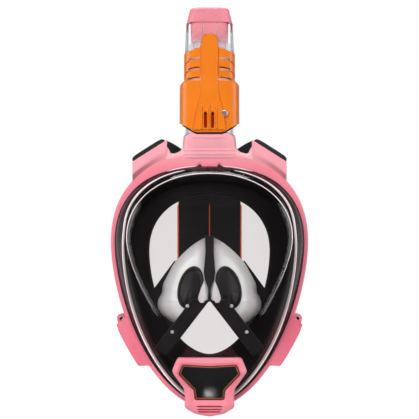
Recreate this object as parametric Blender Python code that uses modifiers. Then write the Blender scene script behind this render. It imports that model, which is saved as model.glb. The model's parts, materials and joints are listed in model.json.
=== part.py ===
"""Full face snorkel mask, worn position: front faces -Y, the wearer's face lies at +Y, up is +Z.

The origin is the middle of the face seal. Every size is in metres.
"""

import math

import bmesh
import bpy
import numpy as np
from mathutils import Matrix, Vector

MM = 0.001

# Gap between pieces that touch on the real object.
CLEARANCE = 0.3 * MM

# Front outline of the frame: an egg, widest above the middle, pointed at the chin.
FRAME_HALF_WIDTH = 92.3 * MM
FRAME_WIDEST_Z = 28.0 * MM
FRAME_RISE = 84.2 * MM
FRAME_DROP = 154.0 * MM
FRAME_TOP_POWER = 2.25
FRAME_SIDE_POWER = 1.85
FRAME_CHIN_POWER = 1.7

# The frame is swept back at the temples and leans back at the forehead.
FRAME_FRONT_Y = -34.0 * MM
FRAME_SWEEP = 26.0 * MM
LEAN = 0.06

# Section of the frame and of the parts clamped in it, counted from the front.
LIP_SIDE = 4.4 * MM
LIP_TOP = 12.5 * MM
LIP_THICKNESS = 3.0 * MM
FRAME_WALL = 2.2 * MM
FRAME_EDGE = 0.8 * MM
VISOR_THICKNESS = 2.6 * MM
SKIRT_THICKNESS = 2.2 * MM
RETAINER_THICKNESS = 4.0 * MM
SKIRT_SHOULDER = 4.5 * MM

# Visor: crease round its front window, and the doubly curved window itself.
CREASE_HALF_WIDTH = 76.4 * MM
CREASE_WIDEST_Z = 33.0 * MM
CREASE_RISE = 57.5 * MM
CREASE_DROP = 143.0 * MM
CREASE_TOP_POWER = 2.15
CREASE_SIDE_POWER = 1.0
CREASE_CHIN_POWER = 1.3
WINDOW_FRONT_Y = -97.0 * MM
WINDOW_FRONT_Z = -30.0 * MM
WINDOW_RADIUS_X = 95.0 * MM
WINDOW_RADIUS_Z = 156.0 * MM
WALL_BULGE = 3.0 * MM
RIM_PROUD = 2.0 * MM

# Skirt: the fold at its back and the edge of the face opening.
FOLD_HALF_WIDTH = 78.0 * MM
FOLD_RISE = 66.0 * MM
FOLD_DROP = 120.0 * MM
FOLD_BACK = 6.0 * MM
FOLD_ROUND = 1.5 * MM
OPENING_HALF_WIDTH = 58.0 * MM
OPENING_WIDEST_Z = 20.0 * MM
OPENING_RISE = 54.0 * MM
OPENING_DROP = 95.0 * MM
FACE_RADIUS = 85.0 * MM

# Crown blocks that carry the upper straps.
CROWN_FROM = 23.0
CROWN_TO = 50.0
CROWN_INNER_RISE = 14.0 * MM
CROWN_OUTER_RISE = 18.0 * MM
CROWN_DEPTH = 18.0 * MM
CROWN_EDGE = 1.5 * MM
ANCHOR_THICKNESS = 4.0 * MM
ANCHOR_RISE = 3.0 * MM
ANCHOR_HEIGHT = 12.0 * MM

# Quick release levers, hinged beside the jaw.
HINGE_ANGLE = 120.4
HINGE_SPREAD = 1.3
HINGE_STANDOFF = 3.9 * MM
KNUCKLE_RADIUS = 3.2 * MM
PIN_RADIUS = 1.5 * MM
PIN_SETBACK = 0.8 * MM
EAR_THICKNESS = 3.6 * MM
LEVER_FROM = HINGE_ANGLE + 2.8
LEVER_TO = LEVER_FROM + 15.3
LEVER_WIDTH = 7.2 * MM
LEVER_EDGE = 1.0 * MM
HOOK_FROM = LEVER_FROM + 1.0
HOOK_TO = HOOK_FROM + 9.0
HOOK_WIDTH = 5.8 * MM
HOOK_THICKNESS = 4.0 * MM

# Snorkel: socket on the frame, three channel tube, sleeve, dry top.
SNORKEL_LEAN = 20.0
SNORKEL_SETBACK = 11.4 * MM
SOCKET_RISE = 17.8 * MM
SOCKET_FLARE = 2.4 * MM
SOCKET_WALL = 1.7 * MM
SOCKET_ROOT = 14.0 * MM
SOCKET_DRAW = 5.4 * MM
DUCT_HALF_WIDTH = 13.4 * MM
DUCT_HALF_DEPTH = 7.2 * MM
AIR_PORT_HALF_WIDTH = 11.0 * MM
TUBE_HALF_WIDTH = 22.3 * MM
TUBE_HALF_DEPTH = 16.0 * MM
TUBE_WALL = 1.6 * MM
CHANNEL_HALF_WIDTH = 6.4 * MM
PLUG_DEPTH = 11.0 * MM
TUBE_LENGTH = 83.0 * MM
RING_RADIUS = 1.1 * MM
COVER_WALL = 1.3 * MM
COVER_FLARE = 4.0 * MM
COVER_BOTTOM = 3.4 * MM
COVER_SCOOP = 8.0 * MM
COVER_SCOOP_HEIGHT = 13.0 * MM
SHOULDER_DROP = 33.2 * MM
SHOULDER_HEIGHT = 8.3 * MM
COVER_SLOT_DROP = 10.0 * MM
COVER_SLOT_PITCH = 9.6 * MM
COVER_SLOT_TALL = 3.6 * MM
COVER_SLOT_REACH = 4.0 * MM
SPINE_PROUD = 2.2 * MM
SPINE_EDGE = 1.0 * MM
SPINE_TONGUE = 13.5 * MM
SPINE_TIP_HALF_WIDTH = 6.3 * MM
SPINE_HALF_WIDTH = 8.0 * MM
SPINE_FOOT_HALF_WIDTH = 14.6 * MM
SPINE_FLARE_HEIGHT = 22.0 * MM
GROOVE_OFFSET = 3.3 * MM
GROOVE_WIDTH = 3.0 * MM
GROOVE_BOTTOM = 6.2 * MM
GROOVE_LENGTH = 13.3 * MM
SCREW_HEIGHT = 19.0 * MM
SCREW_ACROSS = 14.8 * MM
SCREW_HEAD_RADIUS = 2.4 * MM
SCREW_HEAD_HEIGHT = 1.3 * MM
BOSS_RIM = 1.0 * MM
BOSS_DEPTH = 2.6 * MM
HOUSING_HEIGHT = 28.0 * MM
AIR_SLOT_WIDTH = 2.2 * MM
AIR_SLOT_INSET = 3.8 * MM
AIR_SLOT_BOTTOM = 4.0 * MM
AIR_SLOT_TOP = 3.0 * MM
CAP_HEIGHT = 12.6 * MM
CAP_STEP = 1.1 * MM
CAP_ROUND = 4.3 * MM
FLOAT_HALF_WIDTH = 15.6 * MM
FLOAT_GAP = 2.0 * MM
FLOAT_HEIGHT = 15.0 * MM
FLOAT_SEAL_EDGE = 1.5 * MM
FLOAT_SEAL_THICKNESS = 1.8 * MM
POST_RADIUS = 1.3 * MM

# Chin drain. Heights and half widths are measured in its own plane, from the valve's middle.
CHIN_Z = -90.0 * MM
CHIN_STANDOFF = 15.5 * MM
CHIN_WALL = 2.5 * MM
CHIN_EDGE = 1.6 * MM
CHIN_DEPTH = 46.0 * MM
CHIN_TOP = 18.6 * MM
CHIN_WIDEST = 5.0 * MM
CHIN_WAIST = -12.8 * MM
CHIN_SPOUT = -18.7 * MM
CHIN_JAW = -31.4 * MM
CHIN_BOTTOM = -40.0 * MM
CHIN_TOP_HALF_WIDTH = 28.9 * MM
CHIN_HALF_WIDTH = 33.8 * MM
CHIN_WAIST_HALF_WIDTH = 24.9 * MM
CHIN_SPOUT_HALF_WIDTH = 22.6 * MM
CHIN_JAW_HALF_WIDTH = 13.0 * MM
CHIN_JAW_RISE = 2.4 * MM
PANEL_RECESS = 0.8 * MM
PANEL_THICKNESS = 2.5 * MM
PANEL_TOP_BORDER = 9.2 * MM
PANEL_SHOULDER = 8.0 * MM
PANEL_BORDER = 7.4 * MM
PANEL_CORNER = 2.8 * MM
PANEL_WAIST_BORDER = 9.3 * MM
PANEL_SPOUT_BORDER = 9.0 * MM
PANEL_TONGUE = 4.1 * MM
DRAIN_SLOT_DROP = 6.6 * MM
DRAIN_SLOT_PITCH = 2.9 * MM
DRAIN_SLOT_TALL = 1.2 * MM
DRAIN_SLOT_BORDER = 10.6 * MM
DRAIN_SLOT_TAPER = 1.0 * MM
DRAIN_RADIUS = 9.5 * MM
DRAIN_OVERLAP = 0.8 * MM
DRAIN_PORT_REACH = 12.0 * MM
DRAIN_SEAT_WALL = 2.4 * MM
DRAIN_FLANGE = 2.5 * MM
DRAIN_FLANGE_THICKNESS = 2.2 * MM
DRAIN_SPIGOT = 4.0 * MM
DRAIN_FLAP_THICKNESS = 1.2 * MM

# Nose and mouth pocket with its two inhale valves.
POCKET_THICKNESS = 1.6 * MM
POCKET_HALF_WIDTH = 50.0 * MM
POCKET_TOP_Z = 33.0 * MM
POCKET_WIDEST_Z = -30.0 * MM
POCKET_BOTTOM_Z = -48.0 * MM
POCKET_CHEEK = 4.0 * MM
RIDGE_TOP_Y = -30.0 * MM
RIDGE_TIP_Y = -66.0 * MM
RIDGE_TIP_Z = -20.0 * MM
VALVE_X = 18.0 * MM
VALVE_Z = -13.0 * MM
VALVE_HALF_LENGTH = 17.0 * MM
VALVE_HALF_WIDTH = 10.0 * MM
VALVE_RIM = 2.6 * MM
VALVE_BAR = 2.4 * MM
VALVE_THICKNESS = 2.4 * MM
VALVE_FLAP_THICKNESS = 1.0 * MM
VALVE_HOLE_REACH = 16.0 * MM
POST_WIDTH = 8.0 * MM
LEG_WIDTH = 11.0 * MM
LEG_THICKNESS = 3.0 * MM
LEG_ANGLE = 141.0
LEG_SHARE = 0.3
LEG_DROP = 4.0 * MM
LEG_PROUD = 1.0 * MM
LEG_FOOT_GAP = 1.26 * MM
SMALL_SCREW_RADIUS = 1.5 * MM
SMALL_SCREW_HEIGHT = 1.4 * MM

# Head straps, in the shape that they take on a head.
STRAP_WIDTH = 30.0 * MM
STRAP_THICKNESS = 2.4 * MM
PAD_BACK_Y = 172.0 * MM
PAD_TOP_Z = 62.0 * MM
PAD_BOTTOM_Z = -14.0 * MM
PAD_TOP_LEAN = 7.0 * MM
PAD_BOTTOM_LEAN = 4.0 * MM
PAD_COUNT = 9
UPPER_STRAP_RISE = 44.0 * MM
UPPER_STRAP_LEAD = 28.0 * MM
UPPER_STRAP_LIFT = 3.0 * MM
UPPER_STRAP_BEND = 14.0 * MM
LOWER_STRAP_WIDTH = 18.0 * MM
LOWER_STRAP_DROP = 34.0 * MM
LOWER_STRAP_BEND = 10.0 * MM
LOWER_STRAP_LIFT = 8.0 * MM
LOWER_STRAP_LEAD = 14.0 * MM

# Points round the frame outline, and round the snorkel's oval.
SEGMENTS = 48
OVAL_POINTS = 36

# Depths of the clamped parts behind the front of the frame.
VISOR_SEAT = LIP_THICKNESS + CLEARANCE
SKIRT_SEAT = VISOR_SEAT + VISOR_THICKNESS + CLEARANCE
RETAINER_SEAT = SKIRT_SEAT + SKIRT_THICKNESS + CLEARANCE
FRAME_DEPTH = RETAINER_SEAT + RETAINER_THICKNESS

PARTS = None
TOOLS = None


def start():
    """Clear the scene and make one collection for the parts and one for the cutting tools."""
    global PARTS, TOOLS
    for item in list(bpy.data.objects):
        bpy.data.objects.remove(item)
    PARTS = bpy.data.collections.new("full_face_snorkel")
    TOOLS = bpy.data.collections.new("tools")
    bpy.context.scene.collection.children.link(PARTS)
    bpy.context.scene.collection.children.link(TOOLS)


def finish(name, colour, roughness, metallic=0.0, clear=0.0):
    """A material for one part."""
    material = bpy.data.materials.new(name)
    material.use_nodes = True
    shader = material.node_tree.nodes["Principled BSDF"]
    shader.inputs["Base Color"].default_value = (*colour, 1.0)
    shader.inputs["Roughness"].default_value = roughness
    shader.inputs["Metallic"].default_value = metallic
    shader.inputs["Transmission Weight"].default_value = clear
    return material


PINK = (0.93, 0.33, 0.40)
DEEP_PINK = (0.88, 0.22, 0.30)
ORANGE = (0.93, 0.25, 0.02)
BLACK = (0.012, 0.012, 0.013)
CHARCOAL = (0.03, 0.03, 0.03)
CLEAR = (0.92, 0.93, 0.94)
MILKY = (0.80, 0.81, 0.82)
STEEL = (0.62, 0.62, 0.63)


def add_empty(name, place, turn=(0.0, 0.0, 0.0), parent=None):
    item = bpy.data.objects.new(name, None)
    item.location = place
    item.rotation_euler = turn
    item.parent = parent
    PARTS.objects.link(item)
    return item


def add_part(name, data, look, parent=None, place=(0.0, 0.0, 0.0), turn=(0.0, 0.0, 0.0)):
    """A visible piece with its own material: look is (colour, roughness, metallic, clear)."""
    item = bpy.data.objects.new(name, data)
    data.materials.append(finish(name, *look))
    item.location = place
    item.rotation_euler = turn
    item.parent = parent
    PARTS.objects.link(item)
    return item


def add_tool(name, data, parent=None, place=(0.0, 0.0, 0.0), turn=(0.0, 0.0, 0.0)):
    """A helper solid that only takes part in Booleans."""
    item = bpy.data.objects.new(name, data)
    item.location = place
    item.rotation_euler = turn
    item.parent = parent
    item.hide_render = True
    item.display_type = "WIRE"
    TOOLS.objects.link(item)
    return item


def combine(item, tool, operation):
    modifier = item.modifiers.new(operation.lower() + " " + tool.name, "BOOLEAN")
    modifier.operation = operation
    modifier.solver = "EXACT"
    modifier.object = tool


def cut(item, tool):
    combine(item, tool, "DIFFERENCE")


def weld_on(item, tool):
    combine(item, tool, "UNION")


def thicken(item, thickness, offset=0.0):
    modifier = item.modifiers.new("thickness", "SOLIDIFY")
    modifier.thickness = thickness
    modifier.offset = offset
    modifier.use_even_offset = True
    modifier.thickness_clamp = 0.0


def soften(item, width, segments=2):
    modifier = item.modifiers.new("edges", "BEVEL")
    modifier.width = width
    modifier.segments = segments
    modifier.limit_method = "ANGLE"
    modifier.angle_limit = math.radians(40.0)
    modifier.harden_normals = False


def skin(name, rings, wrap=False, cap=False, tip=None):
    """Surface through rings of equal count.

    wrap joins the last ring to the first, cap fills both ends and tip closes the last ring in a point.
    """
    shape = bmesh.new()
    rows = [[shape.verts.new(point) for point in ring] for ring in np.asarray(rings)]
    pairs = list(zip(rows, rows[1:]))
    if wrap:
        pairs.append((rows[-1], rows[0]))
    for lower, upper in pairs:
        for side in range(len(lower)):
            after = (side + 1) % len(lower)
            shape.faces.new((lower[side], lower[after], upper[after], upper[side]))
    if cap:
        shape.faces.new(rows[0])
        shape.faces.new(rows[-1])
    if tip is not None:
        point = shape.verts.new(tip)
        for side in range(len(rows[-1])):
            shape.faces.new((rows[-1][side], rows[-1][(side + 1) % len(rows[-1])], point))
    bmesh.ops.recalc_face_normals(shape, faces=shape.faces)
    mesh = bpy.data.meshes.new(name)
    shape.to_mesh(mesh)
    shape.free()
    return mesh


def sheet(name, grid):
    """Open surface through a rectangular grid of points."""
    shape = bmesh.new()
    rows = [[shape.verts.new(point) for point in row] for row in grid]
    for lower, upper in zip(rows, rows[1:]):
        for side in range(len(lower) - 1):
            shape.faces.new((lower[side], lower[side + 1], upper[side + 1], upper[side]))
    mesh = bpy.data.meshes.new(name)
    shape.to_mesh(mesh)
    shape.free()
    return mesh


def outline_curve(name, outlines, thickness):
    """Flat outlines in local XY, holes included, given a thickness centred on local Z."""
    curve = bpy.data.curves.new(name, "CURVE")
    curve.dimensions = "2D"
    curve.fill_mode = "BOTH"
    curve.extrude = thickness / 2
    for outline in outlines:
        spline = curve.splines.new("POLY")
        spline.points.add(len(outline) - 1)
        for point, (across, along) in zip(spline.points, outline):
            point.co = (across, along, 0.0, 1.0)
        spline.use_cyclic_u = True
    return curve


def outline_mesh(name, outlines, low, high):
    """The same as a welded mesh between two heights, ready for Booleans and bevels."""
    helper = bpy.data.objects.new(name, outline_curve(name, outlines, high - low))
    PARTS.objects.link(helper)
    bpy.context.view_layer.update()
    graph = bpy.context.evaluated_depsgraph_get()
    mesh = bpy.data.meshes.new_from_object(helper.evaluated_get(graph))
    shape = bmesh.new()
    shape.from_mesh(mesh)
    bmesh.ops.remove_doubles(shape, verts=shape.verts, dist=1e-6)
    bmesh.ops.translate(shape, verts=shape.verts, vec=(0.0, 0.0, (low + high) / 2))
    bmesh.ops.recalc_face_normals(shape, faces=shape.faces)
    shape.to_mesh(mesh)
    shape.free()
    mesh.name = name
    bpy.data.objects.remove(helper)
    return mesh


def boxes_mesh(name, boxes):
    """Several separate boxes, each given as its low and high corner."""
    shape = bmesh.new()
    for low, high in boxes:
        middle = (Vector(low) + Vector(high)) / 2
        size = Vector(high) - Vector(low)
        place = Matrix.Translation(middle) @ Matrix.Diagonal((*size, 1.0))
        bmesh.ops.create_cube(shape, size=1.0, matrix=place)
    mesh = bpy.data.meshes.new(name)
    shape.to_mesh(mesh)
    shape.free()
    return mesh


def rod_mesh(name, radius, low, high, points=20):
    """Round bar along local Z."""
    shape = bmesh.new()
    place = Matrix.Translation((0.0, 0.0, (low + high) / 2))
    bmesh.ops.create_cone(
        shape,
        cap_ends=True,
        segments=points,
        radius1=radius,
        radius2=radius,
        depth=high - low,
        matrix=place,
    )
    mesh = bpy.data.meshes.new(name)
    shape.to_mesh(mesh)
    shape.free()
    return mesh


def circle(radius, count, centre=(0.0, 0.0)):
    turn = np.arange(count) * 2 * math.pi / count
    return np.stack([centre[0] + radius * np.cos(turn), centre[1] + radius * np.sin(turn)], 1)


def ellipse(half_length, half_width, count):
    turn = np.arange(count) * 2 * math.pi / count
    return np.stack([half_width * np.cos(turn), half_length * np.sin(turn)], 1)


def oval(half_width, half_depth, count=OVAL_POINTS):
    """Rounded oblong: a superellipse of power 3."""
    turn = np.arange(count) * 2 * math.pi / count
    cosine = np.cos(turn)
    sine = np.sin(turn)
    across = half_width * np.sign(cosine) * np.abs(cosine) ** (2 / 3)
    deep = half_depth * np.sign(sine) * np.abs(sine) ** (2 / 3)
    return np.stack([across, deep], 1)


def oval_depth(across, half_width, half_depth):
    """Half depth of that oblong at a distance from its middle."""
    return half_depth * np.clip(1 - np.abs(across / half_width) ** 3, 0.0, None) ** (1 / 3)


def egg(angle, half_width, widest_z, rise, drop, top_power, side_power, chin_power):
    """Egg outline seen from the front; angle in radians runs clockwise from the top."""
    sine = np.sin(angle)
    cosine = np.cos(angle)
    upper = cosine >= 0
    across = np.abs(sine) ** np.where(upper, 2 / top_power, 2 / side_power)
    above = np.abs(cosine) ** np.where(upper, 2 / top_power, 2 / chin_power)
    x = half_width * np.sign(sine) * across
    z = widest_z + np.where(upper, rise, -drop) * above
    return x, z


def frame_outline(angle):
    return egg(
        angle,
        FRAME_HALF_WIDTH,
        FRAME_WIDEST_Z,
        FRAME_RISE,
        FRAME_DROP,
        FRAME_TOP_POWER,
        FRAME_SIDE_POWER,
        FRAME_CHIN_POWER,
    )


def frame_front(x, z):
    """Depth of the frame's front edge."""
    return FRAME_FRONT_Y + FRAME_SWEEP * (x / FRAME_HALF_WIDTH) ** 2 + LEAN * z


def frame_normal(angle):
    """Outward direction of the frame outline, seen from the front."""
    before = np.stack(frame_outline(angle - 0.002), -1)
    after = np.stack(frame_outline(angle + 0.002), -1)
    along = after - before
    along = along / np.linalg.norm(along, axis=-1, keepdims=True)
    return -along[..., 1], along[..., 0]


def on_frame(angle, inset, depth):
    """Points that lie inset from the frame's outer wall and depth behind its front edge."""
    x, z = frame_outline(angle)
    across, above = frame_normal(angle)
    y = frame_front(x, z) + depth
    return np.stack(np.broadcast_arrays(x - inset * across, y, z - inset * above), -1)


def lip_width(angle):
    """Width of the frame's front lip: broad at the forehead, narrow elsewhere."""
    return LIP_SIDE + (LIP_TOP - LIP_SIDE) * np.clip(np.cos(angle), 0.0, None) ** 2


ROUND = np.arange(SEGMENTS) * 2 * math.pi / SEGMENTS
SIDES = (("left", -1.0), ("right", 1.0))
DOWN = (0.0, 0.0, -1.0)
BACKWARDS = (0.0, 1.0, 0.0)
FORWARDS = (0.0, -1.0, 0.0)
# Turn of a plate drawn in front view (x, z): its local Z points to the front.
UPRIGHT = (math.pi / 2, 0.0, 0.0)


def window_depth(x, z):
    """Depth of the visor's doubly curved front window."""
    across = x**2 / (2 * WINDOW_RADIUS_X)
    above = (z - WINDOW_FRONT_Z) ** 2 / (2 * WINDOW_RADIUS_Z)
    return WINDOW_FRONT_Y + across + above


def crease_points(angle):
    x, z = egg(
        angle,
        CREASE_HALF_WIDTH,
        CREASE_WIDEST_Z,
        CREASE_RISE,
        CREASE_DROP,
        CREASE_TOP_POWER,
        CREASE_SIDE_POWER,
        CREASE_CHIN_POWER,
    )
    return np.stack([x, window_depth(x, z), z], -1)


def visor_wall(angle, share):
    """Side wall of the visor, from the rim in the frame (share 0) to the crease (share 1)."""
    inset = lip_width(angle) + CLEARANCE + VISOR_THICKNESS / 2
    rim = on_frame(angle, inset, -RIM_PROUD)
    crease = crease_points(angle)
    point = rim + (crease - rim) * share
    across, above = frame_normal(angle)
    bulge = WALL_BULGE * 4 * share * (1 - share)
    return point + bulge * np.stack([across, np.zeros_like(across), above], -1)


def visor_rings():
    """Rings of the visor's middle surface, from the flange in the frame to the window's centre."""
    flange_depth = VISOR_SEAT + VISOR_THICKNESS / 2
    inset = lip_width(ROUND) + CLEARANCE + VISOR_THICKNESS / 2
    rings = [on_frame(ROUND, FRAME_WALL + CLEARANCE, flange_depth)]
    rings.append(on_frame(ROUND, inset, flange_depth))
    for share in (0.0, 0.33, 0.67, 0.92):
        rings.append(visor_wall(ROUND, share))
    crease = crease_points(ROUND)
    for share in (0.97, 0.75, 0.5, 0.25):
        x = crease[:, 0] * share
        z = crease[:, 2] * share
        rings.append(np.stack([x, window_depth(x, z), z], -1))
    return rings


def window_centre():
    return (0.0, float(window_depth(0.0, 0.0)), 0.0)


def face_depth(x, z):
    """Depth of the wearer's face along the seal."""
    return x**2 / (2 * FACE_RADIUS) + LEAN * z


def chin_frame():
    """Place and turn of the drain: on the visor's lower front, square to it."""
    slope = (CHIN_Z - WINDOW_FRONT_Z) / WINDOW_RADIUS_Z
    turn = math.pi / 2 - math.atan(slope)
    return (0.0, float(window_depth(0.0, CHIN_Z)), CHIN_Z), (turn, 0.0, 0.0)


def air_port():
    """Passage from the socket through the frame's wall and the clamped flanges into the mask."""
    top = FRAME_WIDEST_Z + FRAME_RISE
    front = float(frame_front(0.0, top))
    low = (-AIR_PORT_HALF_WIDTH, front + VISOR_SEAT - CLEARANCE / 2, top - LIP_TOP - SKIRT_SHOULDER - MM)
    high = (AIR_PORT_HALF_WIDTH, front + RETAINER_SEAT - CLEARANCE / 2, top + MM)
    return add_tool("air_port", boxes_mesh("air_port", [(low, high)]))


def make_frame(base):
    """Pink frame: swept channel, crown blocks and hinge ears in one moulding."""
    lip = lip_width(ROUND)
    section = [
        (FRAME_EDGE, 0.0),
        (lip - FRAME_EDGE, 0.0),
        (lip, FRAME_EDGE),
        (lip, LIP_THICKNESS),
        (FRAME_WALL, LIP_THICKNESS),
        (FRAME_WALL, FRAME_DEPTH),
        (0.0, FRAME_DEPTH),
        (0.0, FRAME_EDGE),
    ]
    rings = np.stack([on_frame(ROUND, inset, depth) for inset, depth in section], 1)
    frame = add_part("frame", skin("frame", rings, wrap=True), (PINK, 0.35), base)
    for side, sign in SIDES:
        weld_on(frame, crown_block(side, sign))
        for ear in hinge_ears(side, sign):
            weld_on(frame, ear)
    for side, sign in SIDES:
        cut(frame, hinge_bore(side, sign))
    return frame


def crown_corners(sign):
    """Inner and outer top corner of a crown block, seen from the front."""
    angle = np.radians(np.array([CROWN_FROM, CROWN_TO]))
    x, z = frame_outline(angle)
    inner = np.array([sign * x[0], z[0] + CROWN_INNER_RISE])
    outer = np.array([sign * x[1], z[1] + CROWN_OUTER_RISE])
    return inner, outer


def crown_back():
    """Depth of the crown blocks' back face."""
    angle = np.radians(np.linspace(CROWN_FROM, CROWN_TO, 9))
    return float(frame_front(*frame_outline(angle)).mean()) + FRAME_DEPTH


def crown_block(side, sign):
    angle = np.radians(np.linspace(CROWN_FROM, CROWN_TO, 8))
    foot = on_frame(angle, FRAME_WALL * 0.6, 0.0)
    inner, outer = crown_corners(sign)
    outline = [(sign * point[0], point[2]) for point in foot]
    outline += [tuple(outer), tuple(inner)]
    mesh = outline_mesh("crown_" + side, [outline], -crown_back(), CROWN_DEPTH - crown_back())
    block = add_tool("crown_" + side, mesh, turn=UPRIGHT)
    soften(block, CROWN_EDGE)
    return block


def hinge_point(sign):
    """Point on a lever's hinge axis, at the frame's front edge depth."""
    point = on_frame(np.radians(HINGE_ANGLE), -HINGE_STANDOFF, 0.0)
    return np.array([sign * point[0], point[1], point[2]])


def hinge_ears(side, sign):
    """Front and rear ear that hold the hinge pin, rooted in the frame's wall."""
    angle = np.radians(np.array([HINGE_ANGLE - HINGE_SPREAD, HINGE_ANGLE + HINGE_SPREAD]))
    root = on_frame(angle, FRAME_WALL * 0.6, 0.0)
    point = hinge_point(sign)
    across, above = frame_normal(np.radians(HINGE_ANGLE))
    facing = math.atan2(float(above), float(across))
    arc = facing + np.radians(np.linspace(-90.0, 90.0, 9))
    outline = [(sign * root[1][0], root[1][2])]
    for turn in arc:
        x = abs(point[0]) + KNUCKLE_RADIUS * math.cos(turn)
        z = point[2] + KNUCKLE_RADIUS * math.sin(turn)
        outline.append((sign * x, z))
    outline.append((sign * root[0][0], root[0][2]))
    ears = []
    for name, start in (("front", FRAME_EDGE), ("rear", FRAME_DEPTH - EAR_THICKNESS)):
        near = -(point[1] + start)
        mesh = outline_mesh("ear", [outline], near - EAR_THICKNESS, near)
        ears.append(add_tool("ear_" + name + "_" + side, mesh, turn=UPRIGHT))
    return ears


def hinge_bore(side, sign):
    point = hinge_point(sign)
    mesh = rod_mesh("bore", PIN_RADIUS + CLEARANCE, -FRAME_DEPTH - 2 * MM, 2 * MM)
    return add_tool("hinge_bore_" + side, mesh, place=point, turn=UPRIGHT)


def make_levers(base):
    """Quick release levers, their pins and the strap hooks behind them."""
    for side, sign in SIDES:
        point = hinge_point(sign)
        axis = add_empty("lever_axis_" + side, point, parent=base)
        pin = rod_mesh("pin", PIN_RADIUS, -FRAME_DEPTH + PIN_SETBACK, -FRAME_EDGE - PIN_SETBACK)
        add_part("hinge_pin_" + side, pin, (STEEL, 0.3, 1.0), axis, turn=UPRIGHT)
        angle = np.radians(np.linspace(LEVER_FROM, LEVER_TO, 8))
        share = np.linspace(0.0, 1.0, 8)
        taper = 1.0 - 0.12 * share - 0.45 * np.clip(share * 7 - 6, 0.0, None)
        outer = -CLEARANCE - LEVER_WIDTH * taper
        section = [
            (-CLEARANCE, FRAME_EDGE),
            (outer, FRAME_EDGE),
            (outer, FRAME_DEPTH),
            (-CLEARANCE, FRAME_DEPTH),
        ]
        rings = np.stack([on_frame(angle, inset, depth) for inset, depth in section], 1)
        rings[..., 0] *= sign
        lever = add_part(
            "release_lever_" + side,
            skin("lever", rings - point, cap=True),
            (DEEP_PINK, 0.35),
            axis,
        )
        soften(lever, LEVER_EDGE, 1)
        weld_on(lever, lever_knuckle(side, rings[0], rings[1], axis, point))
        cut(lever, knuckle_bore(side, axis))
        make_hook(side, sign, base)


def lever_knuckle(side, first, second, axis, point):
    """Knuckle between the ears, with the neck that joins it to the lever."""
    middle = (first.mean(0) + second.mean(0)) / 2 - point
    reach = math.hypot(middle[0], middle[2])
    facing = math.atan2(middle[2], middle[0])
    arc = facing + math.pi / 2 + np.radians(np.linspace(0.0, 180.0, 11))
    outline = [(KNUCKLE_RADIUS * math.cos(a), KNUCKLE_RADIUS * math.sin(a)) for a in arc]
    half = KNUCKLE_RADIUS * 0.72
    for swing in (-half, half):
        x = reach * math.cos(facing) - swing * math.sin(facing)
        z = reach * math.sin(facing) + swing * math.cos(facing)
        outline.append((x, z))
    low = FRAME_EDGE + EAR_THICKNESS + CLEARANCE
    high = FRAME_DEPTH - EAR_THICKNESS - CLEARANCE
    mesh = outline_mesh("knuckle", [outline], -high, -low)
    return add_tool("knuckle_" + side, mesh, axis, turn=UPRIGHT)


def knuckle_bore(side, axis):
    mesh = rod_mesh("bore", PIN_RADIUS + CLEARANCE, -FRAME_DEPTH - 2 * MM, 2 * MM)
    return add_tool("knuckle_bore_" + side, mesh, axis, turn=UPRIGHT)


def hook_rings(sign):
    """Hook plate behind the lever, from its front face to its back face."""
    angle = np.radians(np.linspace(HOOK_FROM, HOOK_TO, 6))
    low = FRAME_DEPTH + CLEARANCE
    section = [
        (FRAME_WALL * 0.4, low),
        (-CLEARANCE - HOOK_WIDTH, low),
        (-CLEARANCE - HOOK_WIDTH, low + HOOK_THICKNESS),
        (FRAME_WALL * 0.4, low + HOOK_THICKNESS),
    ]
    rings = np.stack([on_frame(angle, inset, depth) for inset, depth in section], 1)
    rings[..., 0] *= sign
    rings[:, 2:, 1] = rings[:, 2:, 1].max()
    return rings


def make_hook(side, sign, base):
    add_part("strap_hook_" + side, skin("hook", hook_rings(sign), cap=True), (BLACK, 0.5), base)


def make_visor(base):
    """Clear visor with its flange, side wall, creased front window and drain port."""
    mesh = skin("visor", visor_rings(), tip=window_centre())
    visor = add_part("visor", mesh, (CLEAR, 0.03, 0.0, 1.0), base)
    thicken(visor, VISOR_THICKNESS)
    place, turn = chin_frame()
    mesh = rod_mesh(
        "port", DRAIN_RADIUS - DRAIN_OVERLAP + CLEARANCE, -DRAIN_PORT_REACH, DRAIN_PORT_REACH, 32
    )
    cut(visor, add_tool("drain_port", mesh, place=place, turn=turn))
    return visor


def skirt_rings():
    """Rings of the skirt's middle surface, from its flange to the edge of the face opening."""
    depth = SKIRT_SEAT + SKIRT_THICKNESS / 2
    inner = lip_width(ROUND) + SKIRT_SHOULDER
    flange = on_frame(ROUND, inner, depth)
    rings = [on_frame(ROUND, FRAME_WALL + CLEARANCE, depth), flange]
    x, z = egg(ROUND, FOLD_HALF_WIDTH, OPENING_WIDEST_Z, FOLD_RISE, FOLD_DROP, 2.1, 1.9, 1.8)
    fold = np.stack([x, face_depth(x, z) + FOLD_BACK, z], -1)
    for share in (0.3, 0.65, 0.92):
        rings.append(flange + (fold - flange) * share)
    x, z = opening_outline(ROUND)
    edge = np.stack([x, face_depth(x, z), z], -1)
    fold_in = fold + (edge - fold) * 0.12
    fold_in[:, 1] += FOLD_ROUND
    rings += [fold_in, (fold_in + edge) / 2, edge]
    return rings


def opening_outline(angle):
    return egg(
        angle, OPENING_HALF_WIDTH, OPENING_WIDEST_Z, OPENING_RISE, OPENING_DROP, 2.0, 1.85, 1.85
    )


def make_skirt(base):
    skirt = add_part("face_skirt", skin("skirt", skirt_rings()), (BLACK, 0.6), base)
    thicken(skirt, SKIRT_THICKNESS)
    return skirt


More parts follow.
